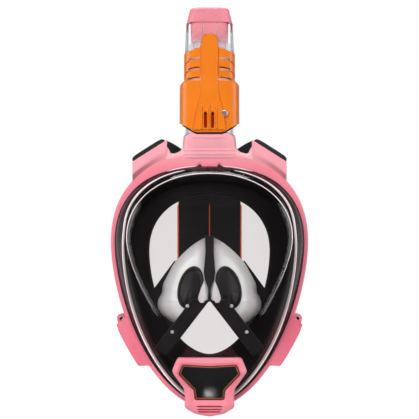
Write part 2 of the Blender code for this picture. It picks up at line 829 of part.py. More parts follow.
def make_retainer(base):
    """Ring that clamps the skirt against the visor from behind."""
    inner = lip_width(ROUND) + SKIRT_SHOULDER - SKIRT_THICKNESS - CLEARANCE
    section = [
        (FRAME_WALL + CLEARANCE, RETAINER_SEAT),
        (inner, RETAINER_SEAT),
        (inner, FRAME_DEPTH),
        (FRAME_WALL + CLEARANCE, FRAME_DEPTH),
    ]
    rings = np.stack([on_frame(ROUND, inset, depth) for inset, depth in section], 1)
    return add_part("retaining_ring", skin("retainer", rings, wrap=True), (CHARCOAL, 0.5), base)


def mirrored(half):
    """Closed outline from its right half, listed upwards."""
    left = [(-across, up) for across, up in half[::-1] if across > 0.0]
    return list(half) + left


def chin_outline(inset=0.0):
    """Muzzle shaped outline of the chin cover, in the drain's own plane."""
    half = [
        (0.0, CHIN_BOTTOM + inset),
        (CHIN_JAW_HALF_WIDTH - inset, CHIN_BOTTOM + CHIN_JAW_RISE + inset),
        (CHIN_SPOUT_HALF_WIDTH - inset, CHIN_JAW + inset),
        (CHIN_SPOUT_HALF_WIDTH - inset, CHIN_SPOUT + inset),
        (CHIN_WAIST_HALF_WIDTH - inset, CHIN_WAIST),
        (CHIN_HALF_WIDTH - inset, CHIN_WIDEST),
        (CHIN_TOP_HALF_WIDTH - inset, CHIN_TOP - inset),
    ]
    return mirrored(half)


def panel_outline(grow=0.0):
    """Outline of the dark panel let into the chin cover, a border inside the cover's own outline."""
    top = CHIN_TOP - PANEL_TOP_BORDER
    widest = CHIN_HALF_WIDTH - PANEL_BORDER
    half = [
        (CHIN_SPOUT_HALF_WIDTH - PANEL_SPOUT_BORDER + grow, CHIN_SPOUT - PANEL_TONGUE - grow),
        (CHIN_WAIST_HALF_WIDTH - PANEL_WAIST_BORDER + grow, CHIN_WAIST - grow),
        (widest + grow, top - PANEL_SHOULDER),
        (widest - PANEL_CORNER + grow, top + grow),
    ]
    return mirrored(half)


def drain_slots(front):
    """Three slots across the spout below the panel, each a little shorter than the one above."""
    boxes = []
    for row in range(3):
        up = CHIN_SPOUT - PANEL_TONGUE - DRAIN_SLOT_DROP - DRAIN_SLOT_PITCH * row
        half = CHIN_SPOUT_HALF_WIDTH - DRAIN_SLOT_BORDER - DRAIN_SLOT_TAPER * row
        low = (-half, up - DRAIN_SLOT_TALL / 2, front - 2 * CHIN_WALL)
        boxes.append((low, (half, up + DRAIN_SLOT_TALL / 2, front + CHIN_WALL)))
    return boxes_mesh("drain_slots", boxes)


def make_chin(base):
    """Drain valve in the visor and the chin cover in front of it."""
    place, turn = chin_frame()
    chin = add_empty("chin_plane", place, turn, base)
    front = CHIN_STANDOFF
    mesh = outline_mesh("chin", [chin_outline()], front - CHIN_DEPTH, front)
    cover = add_part("chin_cover", mesh, (PINK, 0.35), chin)
    soften(cover, CHIN_EDGE)
    inside = outline_mesh("chin_inside", [chin_outline(CHIN_WALL)], -CHIN_DEPTH, front - CHIN_WALL)
    cut(cover, add_tool("chin_inside", inside, chin))
    hole = outline_mesh(
        "panel_hole", [panel_outline(CLEARANCE)], front - 2 * CHIN_WALL, front + CHIN_WALL
    )
    cut(cover, add_tool("panel_hole", hole, chin))
    cut(cover, add_tool("drain_slots", drain_slots(front), chin))
    cut(cover, visor_envelope())
    high = front - PANEL_RECESS
    panel = outline_mesh("panel", [panel_outline()], high - PANEL_THICKNESS, high)
    add_part("chin_panel", panel, (BLACK, 0.12), chin)
    make_drain(chin)


def visor_envelope():
    """Solid that fills the visor and a clearance round it, for trimming what sits on it."""
    rings = np.array(visor_rings())
    grown = rings.copy()
    along = np.roll(rings, -1, 1) - np.roll(rings, 1, 1)
    down = np.gradient(rings, axis=0)
    normal = np.cross(along, down)
    normal /= np.linalg.norm(normal, axis=2, keepdims=True)
    towards = np.sign((normal * (rings - np.array([0.0, 0.03, 0.0]))).sum(2, keepdims=True))
    grown[2:] += (normal * towards)[2:] * (VISOR_THICKNESS / 2 + CLEARANCE)
    back = grown[2].copy()
    back[:, 1] = 0.03
    tip = np.array(window_centre()) - np.array([0.0, VISOR_THICKNESS / 2 + CLEARANCE, 0.0])
    shape = skin("envelope", [back, *grown[2:]], tip=tip)
    work = bmesh.new()
    work.from_mesh(shape)
    bmesh.ops.holes_fill(work, edges=work.edges, sides=0)
    bmesh.ops.recalc_face_normals(work, faces=work.faces)
    work.to_mesh(shape)
    work.free()
    return add_tool("visor_envelope", shape)


def turned(name, profile, steps, look, parent, place=(0.0, 0.0, 0.0)):
    """Solid of revolution about local Z from a closed profile of (radius, height)."""
    mesh = bpy.data.meshes.new(name)
    count = len(profile)
    edges = [(side, (side + 1) % count) for side in range(count)]
    mesh.from_pydata([(radius, 0.0, height) for radius, height in profile], edges, [])
    item = add_part(name, mesh, look, parent, place)
    modifier = item.modifiers.new("turn", "SCREW")
    modifier.axis = "Z"
    modifier.steps = steps
    modifier.render_steps = steps
    modifier.use_merge_vertices = True
    modifier.merge_threshold = 1e-5
    return item


def make_drain(chin):
    """Turned valve seat in the visor's port, and the round flap in front of it."""
    spigot = DRAIN_RADIUS - DRAIN_OVERLAP
    bore = spigot - DRAIN_SEAT_WALL
    flange = DRAIN_RADIUS + DRAIN_FLANGE
    low = VISOR_THICKNESS / 2 + 2 * CLEARANCE
    high = low + DRAIN_FLANGE_THICKNESS
    profile = [
        (bore, high),
        (flange, high),
        (flange, low),
        (spigot, low),
        (spigot, -DRAIN_SPIGOT),
        (bore, -DRAIN_SPIGOT),
    ]
    turned("drain_valve_seat", profile, 32, (BLACK, 0.45), chin)
    axis = add_empty("drain_axis", (0.0, DRAIN_RADIUS, high + CLEARANCE), parent=chin)
    outline = circle(DRAIN_RADIUS, 28, (0.0, -DRAIN_RADIUS))
    flap = outline_mesh("flap", [outline], 0.0, DRAIN_FLAP_THICKNESS)
    add_part("drain_valve_flap", flap, (MILKY, 0.4), axis)


def ridge_depth(z):
    """Depth of the pocket along the bridge of the nose, turning back under the nose."""
    slope = (RIDGE_TOP_Y - RIDGE_TIP_Y) / (POCKET_TOP_Z - RIDGE_TIP_Z)
    bridge = RIDGE_TIP_Y + slope * (z - RIDGE_TIP_Z)
    under = RIDGE_TIP_Y + 0.9 * (RIDGE_TIP_Z - z)
    return np.where(z >= RIDGE_TIP_Z, bridge, under)


def pocket_half_width(z):
    """Half width of the pocket's arch; it rounds off below its widest line."""
    above = np.clip((z - POCKET_WIDEST_Z) / (POCKET_TOP_Z - POCKET_WIDEST_Z), 0.0, 1.0)
    below = np.clip((POCKET_WIDEST_Z - z) / (POCKET_WIDEST_Z - POCKET_BOTTOM_Z + POCKET_CHEEK), 0.0, 1.0)
    return POCKET_HALF_WIDTH * (1 - above**1.6) ** 0.72 * np.sqrt(1 - below**2)


def pocket_depth(x, z):
    """Depth of the pocket: an elliptic dome from the cheeks to the nose ridge."""
    lip = face_depth(x, z) - SKIRT_THICKNESS / 2 - POCKET_THICKNESS - CLEARANCE
    middle = face_depth(0.0, z) - SKIRT_THICKNESS / 2 - POCKET_THICKNESS - CLEARANCE
    share = np.clip(1 - (x / pocket_half_width(z)) ** 2, 0.0, None) ** 0.5
    return lip + (ridge_depth(z) - middle) * share


def make_pocket(base):
    """Soft nose and mouth pocket with one opening each side for an inhale valve."""
    share = np.linspace(0.0, 1.0, 17)
    rows = POCKET_TOP_Z - 1.2 * MM + (POCKET_BOTTOM_Z - POCKET_TOP_Z + 1.2 * MM) * share
    across = np.sin(np.linspace(0.0, 0.5 * math.pi, 9))
    grid = []
    for z in rows:
        start = max(0.0, (RIDGE_TIP_Z - z) * 0.8)
        width = float(pocket_half_width(z)) * 0.992
        x = start + (width - start) * across
        grid.append(np.stack([x, pocket_depth(x, z), np.full_like(x, z)], 1))
    pocket = add_part("orinasal_pocket", sheet("pocket", grid), (MILKY, 0.35, 0.0, 0.4), base)
    mirror = pocket.modifiers.new("other half", "MIRROR")
    mirror.merge_threshold = 1e-5
    thicken(pocket, POCKET_THICKNESS)
    for side, sign in SIDES:
        place, turn = valve_frame(sign)
        outline = ellipse(VALVE_HALF_LENGTH + CLEARANCE, VALVE_HALF_WIDTH + CLEARANCE, 32)
        mesh = outline_mesh("valve_hole", [outline], -VALVE_HOLE_REACH, VALVE_HOLE_REACH)
        cut(pocket, add_tool("valve_hole_" + side, mesh, place=place, turn=turn))


def valve_frame(sign):
    """Place and turn of an inhale valve: local Z out of the pocket, local Y up its long axis."""
    step = 0.5 * MM
    depth = float(pocket_depth(VALVE_X, VALVE_Z))
    slope_x = (float(pocket_depth(VALVE_X + step, VALVE_Z)) - depth) / step
    slope_z = (float(pocket_depth(VALVE_X, VALVE_Z + step)) - depth) / step
    out = Vector((sign * slope_x, -1.0, slope_z)).normalized()
    up = Vector((-0.28 * sign, 0.0, 0.96))
    up = (up - out * up.dot(out)).normalized()
    turn = Matrix((up.cross(out), up, out)).transposed().to_euler()
    return Vector((sign * VALVE_X, depth, VALVE_Z)), tuple(turn)


def make_valves(base):
    """Oval inhale valves: a seat with a grille bar, a flap behind it and a fixing screw."""
    for side, sign in SIDES:
        place, turn = valve_frame(sign)
        plane = add_empty("valve_plane_" + side, place, turn, base)
        rim = ellipse(VALVE_HALF_LENGTH, VALVE_HALF_WIDTH, 32)
        hole = ellipse(VALVE_HALF_LENGTH - VALVE_RIM, VALVE_HALF_WIDTH - VALVE_RIM, 32)
        low = hole[hole[:, 1] < -VALVE_BAR / 2]
        high = hole[hole[:, 1] > VALVE_BAR / 2]
        mesh = outline_mesh(
            "seat", [rim, low, high], -VALVE_THICKNESS / 2, VALVE_THICKNESS / 2
        )
        add_part("inhale_valve_seat_" + side, mesh, (CHARCOAL, 0.5), plane)
        top = VALVE_HALF_LENGTH - VALVE_RIM / 2
        behind = -VALVE_THICKNESS / 2 - CLEARANCE
        axis = add_empty("flap_axis_" + side, (0.0, top, behind), parent=plane)
        outline = ellipse(top, VALVE_HALF_WIDTH - VALVE_RIM / 2, 28) - np.array([0.0, top])
        flap = outline_mesh("flap", [outline], -VALVE_FLAP_THICKNESS, 0.0)
        add_part("inhale_valve_flap_" + side, flap, (CHARCOAL, 0.6), axis)
        seat_top = VALVE_THICKNESS / 2 + CLEARANCE
        screw = rod_mesh("screw", SMALL_SCREW_RADIUS, seat_top, seat_top + SMALL_SCREW_HEIGHT, 14)
        spot = (0.0, -VALVE_HALF_LENGTH + VALVE_RIM / 2 + CLEARANCE, 0.0)
        add_part("valve_screw_" + side, screw, (STEEL, 0.3, 1.0), plane, spot)


def bar_rings(start, end, width, thickness, facing):
    """Straight flat bar between two points, its broad face towards facing."""
    start = np.asarray(start, float)
    end = np.asarray(end, float)
    along = (end - start) / np.linalg.norm(end - start)
    facing = facing - along * np.dot(facing, along)
    facing = facing / np.linalg.norm(facing)
    across = np.cross(along, facing)
    rings = []
    for point in (start, end):
        corners = []
        for u, v in ((-1, -1), (1, -1), (1, 1), (-1, 1)):
            corners.append(point + across * u * width / 2 + facing * v * thickness / 2)
        rings.append(corners)
    return np.array(rings)


def leg_ends(sign):
    """Upper and lower end of a leg: under the nose post, and against the visor's side wall."""
    front = POCKET_THICKNESS / 2 + CLEARANCE + LEG_THICKNESS / 2
    top = np.array([0.0, RIDGE_TIP_Y - front - LEG_PROUD, RIDGE_TIP_Z - LEG_DROP])
    angle = np.radians(np.array([LEG_ANGLE]))
    foot = visor_wall(angle, LEG_SHARE)[0]
    across, above = frame_normal(angle)
    inside = VISOR_THICKNESS / 2 + CLEARANCE + LEG_FOOT_GAP
    foot = foot - inside * np.array([across[0], -0.4, above[0]])
    return top * np.array([sign, 1, 1]), foot * np.array([sign, 1, 1])


def make_nose_frame(base):
    """Black post over the nose and two legs down to the visor, joined in one moulding."""
    front = POCKET_THICKNESS / 2 + CLEARANCE + LEG_THICKNESS / 2
    slope = (RIDGE_TOP_Y - RIDGE_TIP_Y) / (POCKET_TOP_Z - RIDGE_TIP_Z)
    out = np.array([0.0, -1.0, slope]) / math.hypot(1.0, slope)
    top = np.array([0.0, RIDGE_TOP_Y, POCKET_TOP_Z]) + out * front * 1.15
    tip = np.array([0.0, RIDGE_TIP_Y, RIDGE_TIP_Z]) + out * front * 1.15
    tip = tip + (tip - top) * 0.08
    mesh = skin("post", bar_rings(top, tip, POST_WIDTH, LEG_THICKNESS, out), cap=True)
    frame = add_part("nose_frame", mesh, (BLACK, 0.4), base)
    for side, sign in SIDES:
        start, end = leg_ends(sign)
        facing = np.array([0.35 * sign, -0.85, 0.3])
        leg = skin("leg", bar_rings(start, end, LEG_WIDTH, LEG_THICKNESS, facing), cap=True)
        weld_on(frame, add_tool("leg_" + side, leg))
    for side, sign in SIDES:
        start, end = leg_ends(sign)
        facing = Vector((0.35 * sign, -0.85, 0.3))
        along = Vector(end - start).normalized()
        facing = (facing - along * facing.dot(along)).normalized()
        spot = Vector(start + (end - start) * 0.66) + facing * (LEG_THICKNESS / 2 + CLEARANCE)
        turn = facing.to_track_quat("Z", "Y").to_euler()
        screw = rod_mesh("screw", SMALL_SCREW_RADIUS, 0.0, SMALL_SCREW_HEIGHT, 14)
        add_part("leg_screw_" + side, screw, (STEEL, 0.3, 1.0), base, spot, tuple(turn))


def snorkel_frame():
    """Place and turn of the snorkel: top of its socket, leaning back."""
    top = FRAME_WIDEST_Z + FRAME_RISE
    y = float(frame_front(0.0, top)) + SNORKEL_SETBACK
    return (0.0, y, top + SOCKET_RISE), (-math.radians(SNORKEL_LEAN), 0.0, 0.0)


def oval_rings(levels):
    """Rings of oblongs, each level given as half width, half depth, height and shift to the back."""
    rings = []
    for half_width, half_depth, height, shift in levels:
        flat = oval(half_width, half_depth) + np.array([0.0, shift])
        rings.append(np.column_stack([flat, np.full(len(flat), height)]))
    return rings


def make_socket(base):
    """Socket on top of the frame that takes the snorkel's plug."""
    place, turn = snorkel_frame()
    plane = add_empty("socket_plane", place, turn, base)
    wide = TUBE_HALF_WIDTH + CLEARANCE + SOCKET_WALL
    deep = TUBE_HALF_DEPTH + CLEARANCE + SOCKET_WALL
    foot = -SOCKET_RISE - SOCKET_ROOT
    draw = SOCKET_DRAW
    levels = [
        (wide + SOCKET_FLARE, deep - draw, foot, 2 * draw),
        (wide + SOCKET_FLARE, deep - draw, -SOCKET_RISE, draw),
        (wide + SOCKET_FLARE * 0.4, deep, -PLUG_DEPTH - CLEARANCE - SOCKET_WALL, 0.0),
        (wide, deep, 0.0, 0.0),
    ]
    mesh = skin("socket", oval_rings(levels), cap=True)
    socket = add_part("snorkel_socket", mesh, (PINK, 0.35), plane)
    bore = oval_rings(
        [
            (wide - SOCKET_WALL, deep - SOCKET_WALL, -PLUG_DEPTH - CLEARANCE, 0.0),
            (wide - SOCKET_WALL, deep - SOCKET_WALL, SOCKET_WALL, 0.0),
        ]
    )
    cut(socket, add_tool("socket_bore", skin("socket_bore", bore, cap=True), plane))
    duct = oval_rings(
        [
            (DUCT_HALF_WIDTH, DUCT_HALF_DEPTH, foot - SOCKET_WALL, draw),
            (DUCT_HALF_WIDTH, DUCT_HALF_DEPTH, 0.0, draw / 2),
        ]
    )
    cut(socket, add_tool("socket_duct", skin("socket_duct", duct, cap=True), plane))
    x, z = frame_outline(ROUND)
    across, above = frame_normal(ROUND)
    outline = np.stack([x + across * CLEARANCE, z + above * CLEARANCE], 1)
    mesh = outline_mesh("frame_prism", [outline], -FRAME_HALF_WIDTH, FRAME_HALF_WIDTH)
    cut(socket, add_tool("frame_prism", mesh, turn=UPRIGHT))


def channel_outline(start, end):
    """Air channel of the tube between two distances from its middle."""
    x = np.linspace(start, end, 9)
    wide = TUBE_HALF_WIDTH - TUBE_WALL
    deep = TUBE_HALF_DEPTH - TUBE_WALL
    y = np.maximum(oval_depth(x, wide, deep), 1.2 * MM)
    return [*zip(x, -y), *zip(x[::-1], y[::-1])]


def make_snorkel():
    """Detachable snorkel: tube, seal ring, sleeve, dry top housing, cap and float."""
    place, turn = snorkel_frame()
    axis = add_empty("snorkel_axis", place, turn)
    edge = CHANNEL_HALF_WIDTH + TUBE_WALL
    far = TUBE_HALF_WIDTH - TUBE_WALL - 0.3 * MM
    outlines = [
        oval(TUBE_HALF_WIDTH, TUBE_HALF_DEPTH),
        channel_outline(-CHANNEL_HALF_WIDTH, CHANNEL_HALF_WIDTH),
        channel_outline(edge, far),
        channel_outline(-far, -edge),
    ]
    mesh = outline_mesh("tube", outlines, -PLUG_DEPTH, TUBE_LENGTH)
    add_part("snorkel_tube", mesh, (CLEAR, 0.05, 0.0, 0.9), axis)
    make_seal_ring(axis)
    make_cover(axis)
    make_dry_top(axis)


def make_seal_ring(axis):
    """Rubber ring round the plug, resting on the socket's mouth."""
    grow = CLEARANCE + RING_RADIUS
    path = oval(TUBE_HALF_WIDTH + grow, TUBE_HALF_DEPTH + grow)
    curve = bpy.data.curves.new("seal", "CURVE")
    curve.dimensions = "3D"
    curve.bevel_depth = RING_RADIUS
    curve.bevel_resolution = 1
    spline = curve.splines.new("POLY")
    spline.points.add(len(path) - 1)
    for point, (across, deep) in zip(spline.points, path):
        point.co = (across, deep, 0.0, 1.0)
    spline.use_cyclic_u = True
    add_part("socket_seal", curve, (BLACK, 0.6), axis, (0.0, 0.0, CLEARANCE + RING_RADIUS))


def cover_size(height):
    """Half width and half depth of the sleeve's outside at a height: flared low, snug above."""
    snug = CLEARANCE + COVER_WALL
    share = np.clip((TUBE_LENGTH - SHOULDER_DROP - height) / SHOULDER_HEIGHT, 0.0, 1.0)
    flare = COVER_FLARE * share * share * (3 - 2 * share)
    return TUBE_HALF_WIDTH + snug + flare, TUBE_HALF_DEPTH + snug + flare


def cover_levels():
    """Heights of the sleeve's rings: its scooped foot, its shoulder and its top."""
    shoulder = TUBE_LENGTH - SHOULDER_DROP - SHOULDER_HEIGHT * np.array([1.1, 0.75, 0.5, 0.25, 0.0])
    return [COVER_BOTTOM, COVER_BOTTOM + COVER_SCOOP_HEIGHT, *shoulder, TUBE_LENGTH - CLEARANCE]


def make_cover(axis):
    """Orange sleeve round the tube, with a front spine, side slots and a screw boss."""
    outer = []
    inner = []
    for height in cover_levels():
        wide, deep = cover_size(height)
        scoop = COVER_SCOOP * max(0.0, 1 - (height - COVER_BOTTOM) / COVER_SCOOP_HEIGHT)
        for rows, wall in ((outer, 0.0), (inner, COVER_WALL)):
            flat = oval(wide - wall, deep - wall)
            rise = scoop * np.abs(flat[:, 0] / wide) ** 1.6
            rows.append(np.column_stack([flat, height + rise]))
    mesh = skin("cover", outer + inner[::-1], wrap=True)
    cover = add_part("snorkel_cover", mesh, (ORANGE, 0.4), axis)
    weld_on(cover, cover_spine(axis))
    spot = screw_spot()
    boss = rod_mesh("boss", SCREW_HEAD_RADIUS + BOSS_RIM, -BOSS_DEPTH, 0.0)
    weld_on(cover, add_tool("screw_boss", boss, axis, spot, UPRIGHT))
    cut(cover, add_tool("cover_slots", boxes_mesh("cover_slots", cover_slots()), axis))
    head = rod_mesh("head", SCREW_HEAD_RADIUS, CLEARANCE, CLEARANCE + SCREW_HEAD_HEIGHT)
    add_part("cover_screw", head, (STEEL, 0.25, 1.0), axis, spot, UPRIGHT)


def screw_spot():
    """Front end of the screw boss on the sleeve."""
    wide, deep = cover_size(SCREW_HEIGHT)
    near = float(oval_depth(SCREW_ACROSS - SCREW_HEAD_RADIUS, wide, deep))
    return SCREW_ACROSS, -near - CLEARANCE, SCREW_HEIGHT


def spine_half_width(height):
    """Half width of the spine: flared at its foot, parallel along the sleeve, narrowing to its tip."""
    share = np.clip((height - COVER_BOTTOM) / SPINE_FLARE_HEIGHT, 0.0, 1.0)
    flare = (SPINE_FOOT_HALF_WIDTH - SPINE_HALF_WIDTH) * (1 - share) ** 1.5
    past = np.clip((height - TUBE_LENGTH) / SPINE_TONGUE, 0.0, 1.0)
    return SPINE_HALF_WIDTH + flare - (SPINE_HALF_WIDTH - SPINE_TIP_HALF_WIDTH) * past


def cover_spine(axis):
    """Raised spine down the sleeve's front; its tongue stands above the sleeve."""
    foot = COVER_BOTTOM + SPINE_FLARE_HEIGHT * np.array([0.03, 0.3, 0.6, 1.0])
    shoulder = TUBE_LENGTH - SHOULDER_DROP - SHOULDER_HEIGHT * np.array([1.0, 0.5, 0.0])
    top = TUBE_LENGTH - CLEARANCE
    rings = []
    for height in (*foot, *shoulder, top, top + SPINE_TONGUE):
        half = float(spine_half_width(height))
        wide, deep = cover_size(height)
        surface = float(oval_depth(half, wide, deep))
        front = -surface - SPINE_PROUD
        back = -surface + COVER_WALL * 0.4
        rings.append(
            [
                (-half, back, height),
                (half, back, height),
                (half, front + SPINE_EDGE, height),
                (half - SPINE_EDGE, front, height),
                (-half + SPINE_EDGE, front, height),
                (-half, front + SPINE_EDGE, height),
            ]
        )
    return add_tool("cover_spine", skin("spine", rings, cap=True), axis)


def cover_slots():
    """Three pairs of side slots and the two upright grooves low on the spine."""
    boxes = []
    wide, deep = cover_size(TUBE_LENGTH)
    for row in range(3):
        height = TUBE_LENGTH - COVER_SLOT_DROP - COVER_SLOT_PITCH * row
        for sign in (-1, 1):
            near = sign * (SPINE_HALF_WIDTH + SPINE_EDGE)
            start, end = sorted((near, sign * (wide - COVER_SLOT_REACH)))
            low = (start, -deep - SPINE_PROUD, height - COVER_SLOT_TALL / 2)
            boxes.append((low, (end, -deep * 0.4, height + COVER_SLOT_TALL / 2)))
    wide, deep = cover_size(0.0)
    for sign in (-1, 1):
        middle = sign * GROOVE_OFFSET
        low = (middle - GROOVE_WIDTH / 2, -deep - 2 * SPINE_PROUD, GROOVE_BOTTOM)
        high = (middle + GROOVE_WIDTH / 2, -deep + COVER_FLARE, GROOVE_BOTTOM + GROOVE_LENGTH)
        boxes.append((low, high))
    return boxes


def make_dry_top(axis):
    """Clear float chamber on the tube, its cap, two guide posts and the float with its seal."""
    floor = TUBE_LENGTH + CLEARANCE
    roof = floor + HOUSING_HEIGHT
    wide, deep = TUBE_HALF_WIDTH, TUBE_HALF_DEPTH
    outlines = [oval(wide, deep), oval(wide - TUBE_WALL, deep - TUBE_WALL)]
    mesh = outline_mesh("housing", outlines, floor, roof)
    housing = add_part("dry_top_housing", mesh, (CLEAR, 0.05, 0.0, 0.9), axis)
    slots = []
    for sign in (-1, 1):
        x = sign * (wide - AIR_SLOT_INSET)
        low = (x - AIR_SLOT_WIDTH / 2, -deep - TUBE_WALL, floor + AIR_SLOT_BOTTOM)
        slots.append((low, (x + AIR_SLOT_WIDTH / 2, deep + TUBE_WALL, roof - AIR_SLOT_TOP)))
    cut(housing, add_tool("air_slots", boxes_mesh("air_slots", slots), axis))
    start = roof + CLEARANCE
    levels = []
    for drop, share in ((1.0, 0.0), (1.4, 0.45), (3.0, 0.85)):
        step = CAP_STEP * drop
        levels.append((wide - step, deep - step, start + CAP_HEIGHT * share, 0.0))
    levels.append((wide - CAP_STEP - CAP_ROUND, deep - CAP_STEP - CAP_ROUND, start + CAP_HEIGHT, 0.0))
    mesh = skin("cap", oval_rings(levels), tip=(0.0, 0.0, start + CAP_HEIGHT))
    cap = add_part("dry_top_cap", mesh, (PINK, 0.2, 0.0, 0.3), axis)
    thicken(cap, TUBE_WALL, -1.0)
    post_x = CHANNEL_HALF_WIDTH + TUBE_WALL / 2
    for side, sign in SIDES:
        post = rod_mesh("post", POST_RADIUS, floor, roof - CLEARANCE, 14)
        add_part("float_post_" + side, post, (CLEAR, 0.1, 0.0, 0.5), axis, (sign * post_x, 0, 0))
    slide = add_empty("float_axis", (0.0, 0.0, floor), parent=axis)
    hole = POST_RADIUS + CLEARANCE
    float_deep = deep - TUBE_WALL - FLOAT_GAP
    outlines = [oval(FLOAT_HALF_WIDTH, float_deep)]
    outlines += [circle(hole, 16, (sign * post_x, 0.0)) for sign in (-1, 1)]
    mesh = outline_mesh("float", outlines, CLEARANCE, FLOAT_HEIGHT)
    add_part("dry_top_float", mesh, (PINK, 0.4), slide)
    outlines[0] = oval(FLOAT_HALF_WIDTH - FLOAT_SEAL_EDGE, float_deep - FLOAT_SEAL_EDGE)
    low = FLOAT_HEIGHT + CLEARANCE
    mesh = outline_mesh("float_seal", outlines, low, low + FLOAT_SEAL_THICKNESS)
    add_part("float_seal", mesh, (MILKY, 0.5), slide)


def follow(keys, count):
    """Smooth path through key points, evenly shared between them."""
    keys = np.asarray(keys, float)
    padded = np.concatenate([2 * keys[:1] - keys[1:2], keys, 2 * keys[-1:] - keys[-2:-1]])
    place = np.linspace(0, len(keys) - 1, count)
    first = np.minimum(place.astype(int), len(keys) - 2)
    t = (place - first)[:, None]
    a, b, c, d = (padded[first + step] for step in range(4))
    straight = 2 * b + (c - a) * t
    bend = (2 * a - 5 * b + 4 * c - d) * t**2 + (3 * b - a - 3 * c + d) * t**3
    return (straight + bend) / 2


def band_rings(points, widths, across, ends, thickness, count):
    """Flat band along a path: width direction given at each key point, end faces square to ends."""
    path = follow(points, count)
    wide = follow(np.asarray(widths, float)[:, None], count)
    across = follow(across, count)
    along = np.gradient(path, axis=0)
    along[[0, -1]] = ends
    along /= np.linalg.norm(along, axis=1, keepdims=True)
    across -= along * (across * along).sum(1, keepdims=True)
    across /= np.linalg.norm(across, axis=1, keepdims=True)
    out = np.cross(along, across)
    rings = []
    for u, v in ((-1, -1), (1, -1), (1, 1), (-1, 1)):
        rings.append(path + across * wide * u / 2 + out * thickness * v / 2)
    return np.stack(rings, 1)


def anchor_place(sign):
    """Middle of an anchor plate, with its direction along the crown block's top edge."""
    inner, outer = crown_corners(sign)
    along = (outer - inner) / np.linalg.norm(outer - inner)
    up = np.array([-along[1], along[0]]) * sign
    middle = (inner + outer) / 2 + up * (ANCHOR_RISE - ANCHOR_HEIGHT / 2)
    return middle, along, up, np.linalg.norm(outer - inner)


def make_straps(base):
    """Anchor plates, upper straps, back pad and lower straps."""
    back = crown_back() + CLEARANCE
    for side, sign in SIDES:
        middle, along, up, length = anchor_place(sign)
        outline = []
        for u, v in ((-0.44, -0.5), (0.44, -0.5), (0.44, 0.5), (-0.44, 0.5)):
            outline.append(tuple(middle + along * u * length + up * v * ANCHOR_HEIGHT))
        mesh = outline_mesh("anchor", [outline], -back - ANCHOR_THICKNESS, -back)
        add_part("strap_anchor_" + side, mesh, (BLACK, 0.5), base, turn=UPRIGHT)
        make_upper_strap(side, sign, middle, along, back + ANCHOR_THICKNESS + CLEARANCE, base)
        make_lower_strap(side, sign, base)
    half = STRAP_WIDTH + CLEARANCE
    keys = [
        (0.0, PAD_BACK_Y - PAD_TOP_LEAN, PAD_TOP_Z),
        (0.0, PAD_BACK_Y, (PAD_TOP_Z + PAD_BOTTOM_Z) / 2),
        (0.0, PAD_BACK_Y - PAD_BOTTOM_LEAN, PAD_BOTTOM_Z),
    ]
    across = [(1.0, 0.0, 0.0)] * 3
    rings = band_rings(keys, [2 * half] * 3, across, (DOWN, DOWN), STRAP_THICKNESS, PAD_COUNT)
    add_part("back_pad", skin("pad", rings, cap=True), (BLACK, 0.8), base)


def make_upper_strap(side, sign, middle, along, start, base):
    x = sign * (STRAP_WIDTH + CLEARANCE) / 2
    end_y = PAD_BACK_Y - PAD_TOP_LEAN
    keys = [
        (middle[0], start, middle[1]),
        (middle[0] * 0.93, start + UPPER_STRAP_LEAD, middle[1] + UPPER_STRAP_LIFT),
        (middle[0] * 0.62, end_y * 0.58, PAD_TOP_Z + UPPER_STRAP_RISE),
        (x * 1.25, end_y - UPPER_STRAP_BEND, PAD_TOP_Z + UPPER_STRAP_RISE / 2),
        (x, end_y, PAD_TOP_Z + CLEARANCE * 2),
    ]
    edge = (sign * along[0], 0.0, sign * along[1])
    flat = (1.0, 0.0, 0.0)
    across = [edge, edge, (0.95, 0.0, -0.3 * sign), flat, flat]
    widths = [STRAP_WIDTH * 0.9] + [STRAP_WIDTH] * 4
    rings = band_rings(keys, widths, across, (BACKWARDS, DOWN), STRAP_THICKNESS, 15)
    add_part("upper_strap_" + side, skin("strap", rings, cap=True), (BLACK, 0.8), base)


def make_lower_strap(side, sign, base):
    x = sign * (STRAP_WIDTH + CLEARANCE) / 2
    start_y = PAD_BACK_Y - PAD_BOTTOM_LEAN - CLEARANCE * 2
    hook = hook_rings(sign)
    end = hook[2:4, 2:4].mean((0, 1)) + np.array([0.0, CLEARANCE * 2, 0.0])
    keys = [
        (x, start_y, PAD_BOTTOM_Z - CLEARANCE * 2),
        (x * 1.1, start_y - LOWER_STRAP_BEND * 0.2, PAD_BOTTOM_Z - LOWER_STRAP_DROP * 0.32),
        (x * 1.8, start_y - LOWER_STRAP_BEND, PAD_BOTTOM_Z - LOWER_STRAP_DROP * 0.735),
        (end[0] * 0.55, start_y * 0.82, PAD_BOTTOM_Z - LOWER_STRAP_DROP),
        (end[0] * 0.78, start_y * 0.56, end[2] + LOWER_STRAP_LIFT),
        (end[0] * 0.90, start_y * 0.28, end[2] + LOWER_STRAP_LIFT * 0.25),
        (end[0] * 1.03, end[1] + LOWER_STRAP_LEAD, end[2] + LOWER_STRAP_LIFT * 0.06),
        tuple(end),
    ]
    lean = (0.0, 0.25, 0.75, 1.0, 1.0, 1.0, 1.0, 1.0)
    across = [(1.0 - share, 0.0, share * sign) for share in lean]
    narrow = STRAP_WIDTH - LOWER_STRAP_WIDTH
    widths = [LOWER_STRAP_WIDTH + narrow * (1.0 - share) for share in lean]
    rings = band_rings(keys, widths, across, (DOWN, FORWARDS), STRAP_THICKNESS, 19)
    add_part("lower_strap_" + side, skin("strap", rings, cap=True), (BLACK, 0.8), base)


def shade():
    """Smooth shading with sharp edges kept on every part."""
    for item in PARTS.objects:
        if item.type == "MESH":
            item.data.shade_smooth()
            item.data.set_sharp_from_angle(angle=math.radians(35.0))


